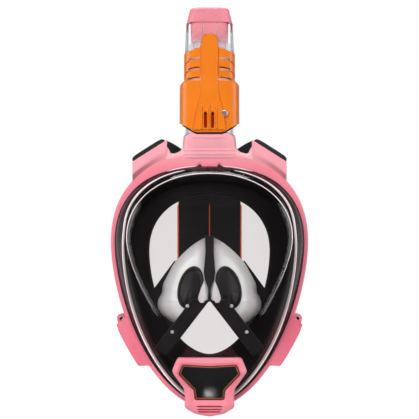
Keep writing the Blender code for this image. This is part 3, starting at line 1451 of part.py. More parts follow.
def main():
    start()
    base = add_empty("mask", (0.0, 0.0, 0.0))
    port = air_port()
    for item in (make_frame(base), make_visor(base), make_skirt(base)):
        cut(item, port)
    make_retainer(base)
    make_chin(base)
    make_pocket(base)
    make_valves(base)
    make_nose_frame(base)
    make_levers(base)
    make_socket(base)
    make_snorkel()
    make_straps(base)
    shade()


main()
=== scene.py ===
# %% [markdown]
# # A full face snorkel, dressed over its solids
#
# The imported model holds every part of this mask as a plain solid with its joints. This lesson lays the
# skins that show over those solids, one step at a time, and gives each its finish. Every length is typed
# in millimetres, in the model's own frame: the mask looks along -Y, up is +Z, and the middle of the face
# seal is the origin.

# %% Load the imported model
import json
import math

import bmesh
import bpy
import numpy as np
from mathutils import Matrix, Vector

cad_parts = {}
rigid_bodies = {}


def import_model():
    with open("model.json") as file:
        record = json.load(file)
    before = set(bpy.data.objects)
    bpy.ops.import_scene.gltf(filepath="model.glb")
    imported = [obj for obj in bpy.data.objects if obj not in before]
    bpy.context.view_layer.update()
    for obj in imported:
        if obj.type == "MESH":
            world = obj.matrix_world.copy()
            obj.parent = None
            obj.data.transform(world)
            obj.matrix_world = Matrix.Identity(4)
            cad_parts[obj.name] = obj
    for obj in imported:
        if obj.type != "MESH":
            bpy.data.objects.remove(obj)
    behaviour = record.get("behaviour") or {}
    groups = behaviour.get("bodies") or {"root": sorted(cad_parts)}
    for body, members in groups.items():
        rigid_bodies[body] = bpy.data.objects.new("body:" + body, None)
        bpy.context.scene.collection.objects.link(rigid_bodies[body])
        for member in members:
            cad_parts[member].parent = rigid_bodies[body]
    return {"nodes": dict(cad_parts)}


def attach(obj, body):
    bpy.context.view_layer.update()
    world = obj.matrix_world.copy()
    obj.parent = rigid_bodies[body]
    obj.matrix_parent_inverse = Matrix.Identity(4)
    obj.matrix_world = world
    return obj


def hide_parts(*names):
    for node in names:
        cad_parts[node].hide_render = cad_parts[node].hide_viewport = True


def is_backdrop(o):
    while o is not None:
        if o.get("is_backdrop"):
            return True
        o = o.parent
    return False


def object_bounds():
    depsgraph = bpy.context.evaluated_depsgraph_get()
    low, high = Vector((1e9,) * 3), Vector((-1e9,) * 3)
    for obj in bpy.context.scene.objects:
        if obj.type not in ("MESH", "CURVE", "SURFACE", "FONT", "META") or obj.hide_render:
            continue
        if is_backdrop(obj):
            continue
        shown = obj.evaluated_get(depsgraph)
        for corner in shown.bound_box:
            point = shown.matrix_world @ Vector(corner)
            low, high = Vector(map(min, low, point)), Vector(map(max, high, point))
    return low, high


MM = 0.001
SIDES = (("left", -1.0), ("right", 1.0))

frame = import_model()
cad_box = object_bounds()

# %% [markdown]
# ## Camera
#
# The portrait is square on and from far off, so the sides of the mask hardly converge. A long lens four
# metres away does the same. Its focal length follows from the width that one pixel has at the mask's
# frame.

# %% Camera
PHOTO_SIDE = 419
PIXEL = 0.927 * MM
VIEW_DISTANCE = 4.0
VIEW_PLANE = -40.0 * MM
VIEW_HEIGHT = 58.9 * MM
SENSOR = 36.0

lens = bpy.data.cameras.new("portrait_lens")
lens.sensor_width = SENSOR
lens.lens = SENSOR * VIEW_DISTANCE / (PHOTO_SIDE * PIXEL)
lens.clip_end = 50.0
camera = bpy.data.objects.new("portrait_camera", lens)
camera.location = (0.0, VIEW_PLANE - VIEW_DISTANCE, VIEW_HEIGHT)
camera.rotation_euler = (math.pi / 2, 0.0, 0.0)
bpy.context.scene.collection.objects.link(camera)
bpy.context.scene.camera = camera
print("focal length:", round(lens.lens, 1))

# %% [markdown]
# ## Studio
#
# The mask was lit in a white cove: bright behind, darker on the camera's side, so that the visor stays
# black where it faces us and turns white at its edges. A picture of a studio could light it too. A sky
# that gets darker with direction needs no picture.

# %% Sky
BACK_LIGHT = 1.0
FRONT_LIGHT = 0.03
scene = bpy.context.scene
scene.view_settings.view_transform = "Standard"
scene.cycles.transparent_max_bounces = 32

cove = bpy.data.worlds.new("white_cove")
scene.world = cove
cove.use_nodes = True
sky = cove.node_tree
direction = sky.nodes.new("ShaderNodeTexCoord")
split = sky.nodes.new("ShaderNodeSeparateXYZ")
fade = sky.nodes.new("ShaderNodeMapRange")
fade.inputs["From Min"].default_value = 0.72
fade.inputs["From Max"].default_value = 0.97
fade.inputs["To Min"].default_value = FRONT_LIGHT
fade.inputs["To Max"].default_value = BACK_LIGHT
bright = sky.nodes.new("ShaderNodeLightPath")
reach = sky.nodes.new("ShaderNodeMath")
reach.operation = "MAXIMUM"
sky.links.new(direction.outputs["Generated"], split.inputs["Vector"])
sky.links.new(split.outputs["Y"], fade.inputs["Value"])
sky.links.new(fade.outputs["Result"], reach.inputs[0])
sky.links.new(bright.outputs["Is Camera Ray"], reach.inputs[1])
sky.links.new(reach.outputs["Value"], sky.nodes["Background"].inputs["Strength"])
sky.nodes["Background"].inputs["Color"].default_value = (1.0, 1.0, 1.0, 1.0)

# %% [markdown]
# ## Lamps
#
# Large soft lamps at both sides and above draw the long highlights, and a front lamp that gloss ignores
# fills the colours. A very small lamp below gives the dark panel its gleam.


# %% Lamps
def softbox(name, place, aim, size, power, shows_in_gloss):
    """A rectangular lamp at a place in metres, turned to its aim."""
    lamp = bpy.data.lights.new(name, "AREA")
    lamp.shape = "RECTANGLE"
    lamp.size, lamp.size_y = size
    lamp.energy = power
    box = bpy.data.objects.new(name, lamp)
    box.location = place
    box.rotation_euler = (Vector(aim) - Vector(place)).to_track_quat("-Z", "Y").to_euler()
    box.visible_glossy = shows_in_gloss
    box.visible_camera = False
    scene.collection.objects.link(box)


LAMP_AIM = (0.0, 0.0, 0.05)
softbox("fill_lamp", (-0.3, -2.4, 0.9), LAMP_AIM, (1.6, 1.2), 94.0, False)
softbox("top_lamp", (0.0, 0.15, 1.5), LAMP_AIM, (1.4, 0.5), 14.0, True)
for side, sign in SIDES:
    softbox("side_lamp_" + side, (1.3 * sign, 0.15, 0.2), LAMP_AIM, (0.5, 1.6), 9.0, True)
softbox("panel_gleam", (0.0, -0.2749, -0.2877), (0.0, -0.0938, -0.1093), (0.009, 0.006), 0.0022, True)
softbox("back_lamp", (0.4, 2.6, 1.0), LAMP_AIM, (1.6, 1.2), 60.0, False)
print("lamps:", len(bpy.data.lights))

# %% [markdown]
# ## Floor
#
# A pale disc under the mask takes its soft shadow when the camera looks from above. It is stage and no
# part of the mask, and is marked so.

# %% Floor
FLOOR_Z = -165.0 * MM
FLOOR_RADIUS = 0.55
turn = np.linspace(0.0, 2 * np.pi, 96, endpoint=False)
rim = np.stack([FLOOR_RADIUS * np.cos(turn), FLOOR_RADIUS * np.sin(turn), np.full_like(turn, FLOOR_Z)], 1)
floor_mesh = bpy.data.meshes.new("pale_floor")
floor_mesh.from_pydata(rim, [], [list(range(len(rim)))])
floor = bpy.data.objects.new("pale_floor", floor_mesh)
scene.collection.objects.link(floor)
floor.visible_glossy = False
floor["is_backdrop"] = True
print("floor radius:", FLOOR_RADIUS)

# %% [markdown]
# ## From grids to meshes
#
# Each skin here is a grid: a point for every pair of two parameters, worked out as one numpy array. A
# grid can join up along its rows, its columns or both, and its two ends can be filled. One function welds
# grids into a mesh, and another finishes the mesh and puts it on its body, so the rest of the lesson is
# only shapes.


# %% Grid helpers
def full_turn(count):
    """Even angles once round; the last would be the first again, so it is left out."""
    return np.linspace(0.0, 2 * np.pi, count, endpoint=False)


def soft_cos(turn, power):
    """A cosine drawn towards a square wave: the lower the power, the squarer the outline."""
    return np.sign(np.cos(turn)) * np.abs(np.cos(turn)) ** power


def soft_sin(turn, power):
    """The same for the sine."""
    return np.sign(np.sin(turn)) * np.abs(np.sin(turn)) ** power


def grid_quads(rows, columns, loop_rows, loop_columns):
    """Corner numbers of the four sided faces of a grid that is numbered row by row."""
    row, column = np.meshgrid(
        np.arange(rows - (not loop_rows)), np.arange(columns - (not loop_columns)), indexing="ij"
    )
    below = (row + 1) % rows
    beside = (column + 1) % columns
    near = (row * columns + column, row * columns + beside)
    far = (below * columns + beside, below * columns + column)
    return np.stack((*near, *far), -1).reshape(-1, 4)


def skin(points, loop_rows=False, loop_columns=True, capped=False, cloth=None):
    """A grid of points in millimetres, how it joins up, and its flat cloth coordinates where it has some."""
    return points, loop_rows, loop_columns, capped, cloth


def weld(name, *skins):
    """Joins grids into one mesh in metres: quads, filled ends, poles merged, faces turned outwards."""
    points, faces, flat, start = [], [], [], 0
    for grid, loop_rows, loop_columns, capped, cloth in skins:
        rows, columns = grid.shape[:2]
        count = rows * columns
        points.append(grid.reshape(-1, 3) * MM)
        faces += (grid_quads(rows, columns, loop_rows, loop_columns) + start).tolist()
        if capped:
            faces.append(list(range(start, start + columns)))
            faces.append(list(range(start + count - columns, start + count)))
        flat.append(np.zeros((count, 2)) if cloth is None else cloth.reshape(-1, 2) * MM)
        start += count
    mesh = bpy.data.meshes.new(name)
    mesh.from_pydata(np.concatenate(points), [], faces)
    corner = np.empty(len(mesh.loops), np.int32)
    mesh.loops.foreach_get("vertex_index", corner)
    layer = mesh.uv_layers.new(name="cloth")
    layer.uv.foreach_set("vector", np.concatenate(flat)[corner].astype(np.float32).ravel())
    work = bmesh.new()
    work.from_mesh(mesh)
    bmesh.ops.remove_doubles(work, verts=work.verts, dist=1e-6)
    bmesh.ops.recalc_face_normals(work, faces=work.faces)
    if all(edge.is_manifold for edge in work.edges) and work.calc_volume(signed=True) < 0:
        bmesh.ops.reverse_faces(work, faces=work.faces)
    work.to_mesh(mesh)
    work.free()
    return mesh


# %% [markdown]
# ## Finishing a piece
#
# A grid becomes part of the mask once it has its wall, its cuts and its rounded edges. Solidify, Boolean and
# Bevel do that, and the result is kept as a plain mesh. The piece then rides on a body of the packed model
# and stands for the solids that it covers.


# %% Pieces
def piece(name, skins, body, slot, look, *nodes, wall=0.0, edge=0.0, cuts=(), crisp=40.0):
    """Welds skins, gives them a wall, cuts and rounded edges, and ties them to a body and solids; the slot is
    not used.
    """
    thing = bpy.data.objects.new(name, weld(name, *skins))
    scene.collection.objects.link(thing)
    if wall:
        shell = thing.modifiers.new("wall", "SOLIDIFY")
        shell.thickness = wall * MM
        shell.offset = 0.0
        shell.use_even_offset = True
    tools = []
    for cut in cuts:
        tool = bpy.data.objects.new("cutter", cut)
        scene.collection.objects.link(tool)
        carve = thing.modifiers.new("cut", "BOOLEAN")
        carve.operation = "DIFFERENCE"
        carve.solver = "EXACT"
        carve.object = tool
        tools.append(tool)
    if edge:
        round_off = thing.modifiers.new("edges", "BEVEL")
        round_off.width = edge * MM
        round_off.segments = 3
        round_off.limit_method = "ANGLE"
        round_off.angle_limit = math.radians(35.0)
    graph = bpy.context.evaluated_depsgraph_get()
    done = bpy.data.meshes.new_from_object(thing.evaluated_get(graph))
    thing.modifiers.clear()
    thing.data = done
    for tool in tools:
        bpy.data.objects.remove(tool)
    done.materials.clear()
    done.materials.append(look)
    done.shade_smooth()
    done.set_sharp_from_angle(angle=math.radians(crisp))
    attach(thing, body)
    if nodes:
        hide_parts(*nodes)
    print(name, "faces:", len(done.polygons), "body:", body)
    return thing


# %% [markdown]
# ## Mirrors and curves
#
# The mask is the same left and right, so most shapes are worked out once and mirrored. Curves through a
# few chosen rows come from a spline, and gentle changes from an S curve.


# %% Mirrors and curves
def mirrored(points, sign):
    """The same points on the left (sign -1) or the right (sign 1)."""
    return points * np.array([sign, 1.0, 1.0])


def follow(keys, count):
    """Smooth rows through key rows: a Catmull-Rom spline, evenly shared between the keys."""
    keys = np.asarray(keys, float)
    padded = np.concatenate([2 * keys[:1] - keys[1:2], keys, 2 * keys[-1:] - keys[-2:-1]])
    place = np.linspace(0, len(keys) - 1, count)
    first = np.minimum(place.astype(int), len(keys) - 2)
    t = (place - first).reshape(-1, *[1] * (keys.ndim - 1))
    a, b, c, d = (padded[first + step] for step in range(4))
    straight = 2 * b + (c - a) * t
    bend = (2 * a - 5 * b + 4 * c - d) * t**2 + (3 * b - a - 3 * c + d) * t**3
    return (straight + bend) / 2


def smooth_step(value):
    """0 below 0, 1 above 1, and an S curve between."""
    value = np.clip(value, 0.0, 1.0)
    return value * value * (3 - 2 * value)


# %% [markdown]
# ## Patterns
#
# Finishes are built from a few small blocks: a colour, a noise, a place on the piece, and ways to turn
# them into tones, gloss and grain. Each block is a node or two, so a finish is a short list of blocks.


# %% Patterns
def colour(red, green, blue):
    """A screen colour, 0 to 255, as the linear light that shaders work in."""
    value = np.array([red, green, blue]) / 255
    linear = np.where(value <= 0.04045, value / 12.92, ((value + 0.055) / 1.055) ** 2.4)
    return (*linear, 1.0)


def noise(tree, size, detail=3.0):
    """A noise pattern with lumps of about that size in millimetres."""
    place = tree.nodes.new("ShaderNodeTexCoord")
    lumps = tree.nodes.new("ShaderNodeTexNoise")
    lumps.inputs["Scale"].default_value = 1 / (size * MM)
    lumps.inputs["Detail"].default_value = detail
    tree.links.new(place.outputs["Object"], lumps.inputs["Vector"])
    return lumps.outputs["Fac"]


def coordinate(tree, axis):
    """How far along X, Y or Z a point of the piece lies, in metres."""
    place = tree.nodes.new("ShaderNodeTexCoord")
    split = tree.nodes.new("ShaderNodeSeparateXYZ")
    tree.links.new(place.outputs["Object"], split.inputs["Vector"])
    return split.outputs[axis]


def tones(tree, value, *stops):
    """Colours spread over a pattern: each stop is (place, screen colour)."""
    band = tree.nodes.new("ShaderNodeValToRGB")
    while len(band.color_ramp.elements) < len(stops):
        band.color_ramp.elements.new(0.5)
    for element, (place, tone) in zip(band.color_ramp.elements, stops):
        element.position = place
        element.color = colour(*tone)
    tree.links.new(value, band.inputs["Fac"])
    return band.outputs["Color"]


def between(tree, value, low, high, start=0.3, end=0.7):
    """A pattern stretched to lie between two numbers."""
    spread = tree.nodes.new("ShaderNodeMapRange")
    spread.inputs["From Min"].default_value = start
    spread.inputs["From Max"].default_value = end
    spread.inputs["To Min"].default_value = low
    spread.inputs["To Max"].default_value = high
    tree.links.new(value, spread.inputs["Value"])
    return spread.outputs["Result"]


def worked(tree, operation, *values):
    """One sum on patterns or plain numbers."""
    node = tree.nodes.new("ShaderNodeMath")
    node.operation = operation
    for socket, value in zip(node.inputs, values):
        if isinstance(value, float):
            socket.default_value = value
        else:
            tree.links.new(value, socket)
    return node.outputs["Value"]


def relief(tree, height, depth):
    """A pattern read as height, at most that many millimetres deep."""
    bump = tree.nodes.new("ShaderNodeBump")
    bump.inputs["Distance"].default_value = depth * MM
    tree.links.new(height, bump.inputs["Height"])
    return bump.outputs["Normal"]


# %% [markdown]
# ## Moulded finishes
#
# Moulded plastic is never one flat colour: its tone drifts, its gloss varies and its skin has a fine
# grain. Three noise patterns on the piece's own coordinates give these, one for the colour, one for the
# roughness and one for the bump. The same recipe with other numbers makes the rubber parts.


# %% Moulded finish
def moulded(name, tone, deep, rough, grain=0.02, **sockets):
    """A moulded finish: two near tones in broad clouds, uneven gloss and a fine grain in the skin."""
    look = bpy.data.materials.new(name)
    look.use_nodes = True
    tree = look.node_tree
    shader = tree.nodes["Principled BSDF"]
    hue = tones(tree, noise(tree, 45.0), (0.35, deep), (0.65, tone))
    tree.links.new(hue, shader.inputs["Base Color"])
    gloss = between(tree, noise(tree, 12.0), rough - 0.04, rough + 0.04)
    tree.links.new(gloss, shader.inputs["Roughness"])
    tree.links.new(relief(tree, noise(tree, 0.8, 2.0), grain), shader.inputs["Normal"])
    for socket, value in sockets.items():
        shader.inputs[socket.replace("_", " ")].default_value = value
    return look


# %% [markdown]
# ## Clear plastic
#
# The visor, the tube and the dry top are clear. A glass shader bends light and needs many samples, but
# thin walls hardly bend it, so a tinted see-through shader does here. A mirror takes over at grazing
# angles, as on any clear plastic.


# %% Clear plastic
def see_through(name, tint, haze, rim, rough=0.03, most=0.9):
    """Clear plastic: a tinted see-through shader, and a mirror that takes over at grazing angles."""
    look = bpy.data.materials.new(name)
    look.use_nodes = True
    tree = look.node_tree
    tree.nodes.remove(tree.nodes["Principled BSDF"])
    glass = tree.nodes.new("ShaderNodeBsdfTransparent")
    mirror = tree.nodes.new("ShaderNodeBsdfAnisotropic")
    graze = tree.nodes.new("ShaderNodeLayerWeight")
    mix = tree.nodes.new("ShaderNodeMixShader")
    steep = worked(tree, "POWER", graze.outputs["Facing"], 5.0)
    drift = worked(tree, "ADD", between(tree, noise(tree, 30.0), -0.03, 0.03), graze.outputs["Facing"])
    hue = tones(tree, drift, (0.05, tint), (0.6, haze), (1.0, rim))
    tree.links.new(hue, glass.inputs["Color"])
    tree.links.new(between(tree, noise(tree, 9.0), rough, rough + 0.03), mirror.inputs["Roughness"])
    tree.links.new(between(tree, steep, 0.03, most, 0.0, 1.0), mix.inputs["Fac"])
    tree.links.new(glass.outputs["BSDF"], mix.inputs[1])
    tree.links.new(mirror.outputs["BSDF"], mix.inputs[2])
    tree.links.new(mix.outputs["Shader"], tree.nodes["Material Output"].inputs["Surface"])
    return look


# %% [markdown]
# ## The finishes of this mask
#
# The shells are pink, the sleeve orange, the skirt and the small fittings black, and the pocket white. Each
# colour is set under the lamps above, a little darker than it looks in the picture.

# %% The finishes of this mask
pink = moulded("pink_plastic", (212, 141, 150), (208, 134, 145), 0.36)
deep_pink = moulded("deep_pink_plastic", (208, 121, 134), (203, 113, 127), 0.36)
orange = moulded("orange_plastic", (202, 108, 24), (197, 101, 15), 0.36)
# Painted shade: a dark red for the ground inside the sleeve's vents.
vent_shadow_red = moulded("vent_shadow_red_plastic", (150, 32, 2), (130, 24, 0), 0.5)
black_rubber = moulded("black_silicone", (38, 36, 37), (31, 29, 30), 0.5, 0.01, Specular_IOR_Level=0.16)
dark_rubber = moulded("dark_silicone", (44, 44, 45), (38, 38, 39), 0.45, 0.03, Specular_IOR_Level=0.35)
black_plastic = moulded("black_plastic", (40, 40, 42), (33, 33, 35), 0.4, 0.03, Specular_IOR_Level=0.4)
black_gloss = moulded("black_gloss", (24, 24, 24), (18, 18, 18), 0.08, 0.0)
SOFT_LIGHT = {"Subsurface_Weight": 0.2, "Subsurface_Scale": 0.004}
white_rubber = moulded("white_silicone", (250, 250, 250), (246, 246, 247), 0.34, **SOFT_LIGHT)
steel = moulded("steel", (214, 214, 216), (190, 190, 194), 0.2, 0.01, Metallic=0.8)
bright_steel = moulded("bright_steel", (236, 236, 238), (214, 214, 218), 0.16, 0.01, Metallic=0.3)
# Painted highlight: a pale finish for the thin bars that draw bright lines on the visor and the lip.
highlight_paint = moulded("painted_highlight_edge", (222, 208, 209), (206, 192, 194), 0.16, 0.0)
clear = see_through("clear_plastic", (251, 251, 252), (238, 239, 242), (186, 188, 192))
visor_clear = see_through("visor_plastic", (243, 241, 241), (238, 236, 236), (170, 168, 168), most=0.35)
pale_floor = moulded("floor_paint", (244, 244, 244), (240, 240, 240), 0.7)
floor.data.materials.append(pale_floor)
print("finishes:", len(bpy.data.materials))

# %% [markdown]
# ## The frame's outline
#
# Everything on this mask hangs on one outline: an egg, wide at the temples and pointed at the chin, swept
# back at the sides. It is two half superellipses that share their widest line. A point on the frame is
# then an angle, an inset from the outer wall and a depth behind the front edge.

# %% Outline of the frame
HALF_WIDTH = 92.3
FRAME_RISE = 84.2
TOP_POWER = 2.25
SWEEP = 26.0
LEAN = 0.06
FRONT_Y = -34.0
LIP_SIDE = 4.4
LIP_TOP = 12.5
FRAME_WALL = 2.2
FRAME_DEPTH = 12.7
GAP = 0.3


def egg(angle, half_width, widest, rise, drop, top_power, side_power, chin_power):
    """Two half superellipses: x and z from powers of the sine and cosine, angle clockwise from the top."""
    sine, cosine = np.sin(angle), np.cos(angle)
    upper = cosine >= 0
    across = np.abs(sine) ** np.where(upper, 2 / top_power, 2 / side_power)
    above = np.abs(cosine) ** np.where(upper, 2 / top_power, 2 / chin_power)
    return half_width * np.sign(sine) * across, widest + np.where(upper, rise, -drop) * above


def frame_outline(angle):
    """The egg of the frame's outer wall."""
    return egg(angle, HALF_WIDTH, 28.0, FRAME_RISE, 154.0, TOP_POWER, 1.85, 1.7)


def frame_front(x, z):
    """Depth of the front edge: swept back with the square of x, leaning back with z."""
    return FRONT_Y + SWEEP * (x / HALF_WIDTH) ** 2 + LEAN * z


def frame_normal(angle):
    """Outward direction of the outline, from two near points."""
    before = np.stack(frame_outline(angle - 0.002), -1)
    after = np.stack(frame_outline(angle + 0.002), -1)
    along = after - before
    along = along / np.linalg.norm(along, axis=-1, keepdims=True)
    return -along[..., 1], along[..., 0]


def outwards(angle):
    """The same direction as a vector of the model's frame."""
    across, above = frame_normal(angle)
    return np.stack([across, 0 * across, above], -1)


def on_frame(angle, inset, depth):
    """Points that lie inset from the outer wall and depth behind the front edge."""
    x, z = frame_outline(angle)
    across, above = frame_normal(angle)
    y = frame_front(x, z) + depth
    return np.stack(np.broadcast_arrays(x - inset * across, y, z - inset * above), -1)


def lip_width(angle):
    """Width of the front lip: broad at the forehead, narrow elsewhere."""
    return LIP_SIDE + (LIP_TOP - LIP_SIDE) * np.clip(np.cos(angle), 0.0, None) ** 2


def swept(angle, *parts):
    """A section carried along the outline: parts are (inset, depth), both free to change with the angle."""
    rows = np.zeros((len(angle), 1))
    spread = [np.broadcast_arrays(rows, inset, depth)[1:] for inset, depth in parts]
    inset = np.concatenate([part[0] for part in spread], 1)
    depth = np.concatenate([part[1] for part in spread], 1)
    return on_frame(angle[:, None], inset, depth)


ring = full_turn(320)
quarter = np.radians(np.linspace(0.0, 90.0, 7))
print("frame half width:", round(float(np.abs(frame_outline(ring)[0]).max()), 1))

# %% [markdown]
# ## Frame
#
# The pink frame is a moulded channel: an outer wall, a round shoulder and a lip that holds the visor down. A
# sweep of one section round the outline makes it in one skin. The lip slopes in a little, which shades it
# deeper towards the visor, and at the brow the ring's finish adds painted shade there too.

# %% Frame ring
SHOULDER = 2.0
NOSE = 0.9
LIP_SLOPE = 0.06
LIP_THICKNESS = 3.0


def frame_ring():
    """Section: outer wall, quarter round shoulder, sloping lip, quarter round nose, inner channel."""
    lip = lip_width(ring)[:, None]
    flat = SHOULDER + (lip - SHOULDER - NOSE) * np.linspace(0.15, 1.0, 6)
    fall = 0.2 + LIP_SLOPE * (flat - SHOULDER)
    return swept(
        ring,
        (0.0, np.array([FRAME_DEPTH, 8.0, 4.0])),
        (SHOULDER * (1 - np.cos(quarter)), 0.2 + SHOULDER * (1 - np.sin(quarter))),
        (flat, fall),
        (lip - NOSE * (1 - np.sin(quarter[1:])), fall[:, -1:] + NOSE * (1 - np.cos(quarter[1:]))),
        (lip, LIP_THICKNESS),
        (FRAME_WALL, LIP_THICKNESS),
        (FRAME_WALL, FRAME_DEPTH),
    )


# %% [markdown]
# ## Hinge lugs
#
# Each side of the frame carries two lugs that hold a lever's pin. A lug is a flat ring round a hole,
# drawn out to one side until it meets the wall. The knuckle of the lever is made by the same function.


# %% Hinge lugs
def eyelet(centre, towards, radius, stretch, hole, low, high):
    """A flat lug round a hole along Y: a circle drawn out towards one side, carried from low to high in y."""
    turn = full_turn(40)
    x, z = np.cos(turn), np.sin(turn)
    reach = np.clip(x * towards[0] + z * towards[1], 0.0, None) ** 0.6 * stretch
    outer = np.stack([radius * x + reach * towards[0], radius * z + reach * towards[1]], 1)
    inner = hole * np.stack([x, z], 1)
    levels = ((outer, low), (outer, high), (inner, high), (inner, low))
    rows = [np.stack([centre[0] + p[:, 0], np.full(len(p), y), centre[2] + p[:, 1]], 1) for p, y in levels]
    return np.array(rows)


HINGE_ANGLE = math.radians(120.4)
HINGE_STANDOFF = 3.9
KNUCKLE_RADIUS = 4.0
PIN_HOLE = 1.8
EAR_THICKNESS = 3.6
FRAME_EDGE = 0.8


def hinge_point(sign):
    """Where the pin's axis meets the frame's front edge."""
    return mirrored(on_frame(HINGE_ANGLE, -HINGE_STANDOFF, 0.0), sign)


def hinge_ears(sign):
    """Front and rear lug that hold a lever's pin, drawn out towards the frame's wall."""
    across, above = frame_normal(HINGE_ANGLE)
    inward = (-sign * across, -above)
    point = hinge_point(sign)
    starts = (FRAME_EDGE, FRAME_DEPTH - EAR_THICKNESS)
    return [
        eyelet(point, inward, KNUCKLE_RADIUS, 2.6, PIN_HOLE, point[1] + at, point[1] + at + EAR_THICKNESS)
        for at in starts
    ]


# %% [markdown]
# ## Notches and the ring
#
# Two small notches in the lip take the clips of the visor. They are cut with square bars, so the rest of the
# lip stays as it is. The ring's pink is painted paler with height: painted shade low on the ring and a
# painted highlight at its top, where it leans back into the light.

# %% Notches and the ring
NOTCH_X = 9.1
NOTCH_Z = 99.2


def lip_notch(sign):
    """A small square bar through the lip's inner edge, for cutting."""
    x = NOTCH_X * sign + np.array([-1.3, 1.3, 1.3, -1.3])
    z = NOTCH_Z + np.array([-2.4, -2.4, 3.2, 3.2])
    return np.stack([np.stack([x, np.full(4, y), z], 1) for y in (-40.0, -24.2)])


notches = [weld("lip_notch", skin(lip_notch(sign), capped=True)) for _, sign in SIDES]
ears = [skin(grid, loop_rows=True) for _, sign in SIDES for grid in hinge_ears(sign)]
# Painted shade and highlight: the ring's pink by height, deeper low down and paler at the top.
RING_LIGHT_STOPS = ((0.0, (200, 104, 120)), (0.6, (197, 107, 125)), (0.94, (217, 124, 138)), (1.0, (213, 141, 150)))


def ring_painted_light():
    """Pink painted paler with height: painted shade low on the ring, a painted highlight at its top where it
    leans back into the light.
    """
    look = moulded("ring_pink_painted_light", (212, 141, 150), (208, 134, 145), 0.36)
    tree = look.node_tree
    height = between(tree, coordinate(tree, "Z"), 0.0, 1.0, -100.0 * MM, 110.0 * MM)
    tree.links.new(tones(tree, height, *RING_LIGHT_STOPS), tree.nodes["Principled BSDF"].inputs["Base Color"])
    return look


frame_skins = [skin(frame_ring(), True), *ears]
piece("frame_ring", frame_skins, "mask", "pink_shell", ring_painted_light(), "frame", cuts=notches)

# %% [markdown]
# ## Tab and clips
#
# Under the middle of the lip hangs a rounded tab, and a black peg sits in each notch. Both are short
# bars, so a few rows are enough.


# %% Tab and clips
def lip_tab():
    """A small rounded bar under the middle of the lip, between the two notches."""
    turn = full_turn(20)
    across = np.linspace(-7.4, 7.4, 16)[:, None]
    y = -28.6 + 1.2 * np.cos(turn) + 0 * across
    z = 99.4 + 1.5 * np.sin(turn) - across**2 / 260.0
    return np.stack([np.broadcast_to(across, y.shape), y, z], -1)


piece("lip_tab", [skin(lip_tab(), capped=True)], "mask", "pink_shell", deep_pink)


def lip_clip(sign):
    """A short black peg in a notch, lying along Y: an oblong section with drawn in ends."""
    turn = full_turn(24)
    shrink = np.array([0.0, 0.8, 1.0, 1.0, 0.8, 0.0])[:, None]
    y = np.array([-31.6, -31.6, -31.2, -26.4, -26.0, -26.0])[:, None]
    x = NOTCH_X * sign + 1.7 * shrink * soft_cos(turn, 0.5)
    z = NOTCH_Z - 0.2 + 1.7 * shrink * soft_sin(turn, 0.5)
    return np.stack(np.broadcast_arrays(x, y, z), -1)


clips = [skin(lip_clip(sign)) for _, sign in SIDES]
piece("lip_clips", clips, "mask", "black_plastic", black_plastic)

# %% [markdown]
# ## Crown blocks
#
# Two blocks rise from the frame at the forehead's corners and carry the upper straps. Their outer sides
# are upright, their tops slope, and half way up the front leans back along a crease. Rows from the foot
# to the top make one closed skin, and a small bevel rounds its edges as the mould does.

# %% Crown blocks
CROWN_FROM = 23.0
CROWN_TO = 50.0
INNER_RISE = 17.4
OUTER_RISE = 18.0
CROWN_DEPTH = 18.0


def crown_corners():
    """Inner and outer top corner of the right block, seen from the front."""
    x, z = frame_outline(np.radians(np.array([CROWN_FROM, CROWN_TO])))
    return np.array([x[0], z[0] + INNER_RISE]), np.array([x[1], z[1] + OUTER_RISE])


def crown_back():
    """Depth of the blocks' flat back: the frame's mean depth there."""
    angle = np.radians(np.linspace(CROWN_FROM, CROWN_TO, 9))
    return float(frame_front(*frame_outline(angle)).mean()) + FRAME_DEPTH


def crown_block():
    """Upright columns from the frame to the sloping top; the front swells from the lip, then leans back."""
    share = np.linspace(0.0, 1.0, 28)
    rise = np.linspace(0.0, 1.0, 26)[:, None]
    foot = on_frame(np.radians(CROWN_FROM + (CROWN_TO - CROWN_FROM) * share), 1.3, 0.0)
    inner, outer = crown_corners()
    top = inner[1] + (outer[1] - inner[1]) * (foot[:, 0] - inner[0]) / (outer[0] - inner[0])
    z = foot[:, 2] + (top - foot[:, 2]) * rise
    proud = crown_back() - CROWN_DEPTH
    near = foot[:, 1] + 0.8
    lean = 3.2 * np.clip((rise - 0.52) / 0.48, 0.0, 1.0)
    front = near + (proud - near) * smooth_step(rise / 0.42) + lean
    x = np.broadcast_to(foot[:, 0], z.shape)
    face = np.stack([x, front, z], -1)
    rear = np.stack([x, np.full_like(z, crown_back()), z], -1)
    return np.concatenate([face, rear[:, ::-1]], 1)


# %% [markdown]
# ## Saddles
#
# Between each block and the neck a low wall dips in a curve. Its top is a spline through six points, its
# foot follows the frame, and straight columns between them make the face.

# %% Blocks and saddles
SADDLE_X = np.array([23.6, 26.3, 31.0, 35.6, 37.9, 40.5])
SADDLE_Z = np.array([121.0, 114.5, 111.7, 111.2, 115.0, 119.0])


def crown_saddle():
    """A low wall between block and neck: it stands on the frame's edge, and its top hangs in a curve."""
    edge = follow(np.stack([SADDLE_X, SADDLE_Z], 1), 40)
    rise = np.linspace(0.0, 1.0, 12)[:, None]
    foot = 27.0 + FRAME_RISE * (1 - (edge[:, 0] / HALF_WIDTH) ** TOP_POWER) ** (1 / TOP_POWER)
    z = foot + (edge[:, 1] - foot) * rise
    x = np.broadcast_to(edge[:, 0], z.shape)
    face = np.stack([x, frame_front(x, foot) + 0.5 + 2.5 * rise**2, z], -1)
    rear = np.stack([x, np.full_like(z, -12.0), z], -1)
    return np.concatenate([face, rear[::-1]]).transpose(1, 0, 2)


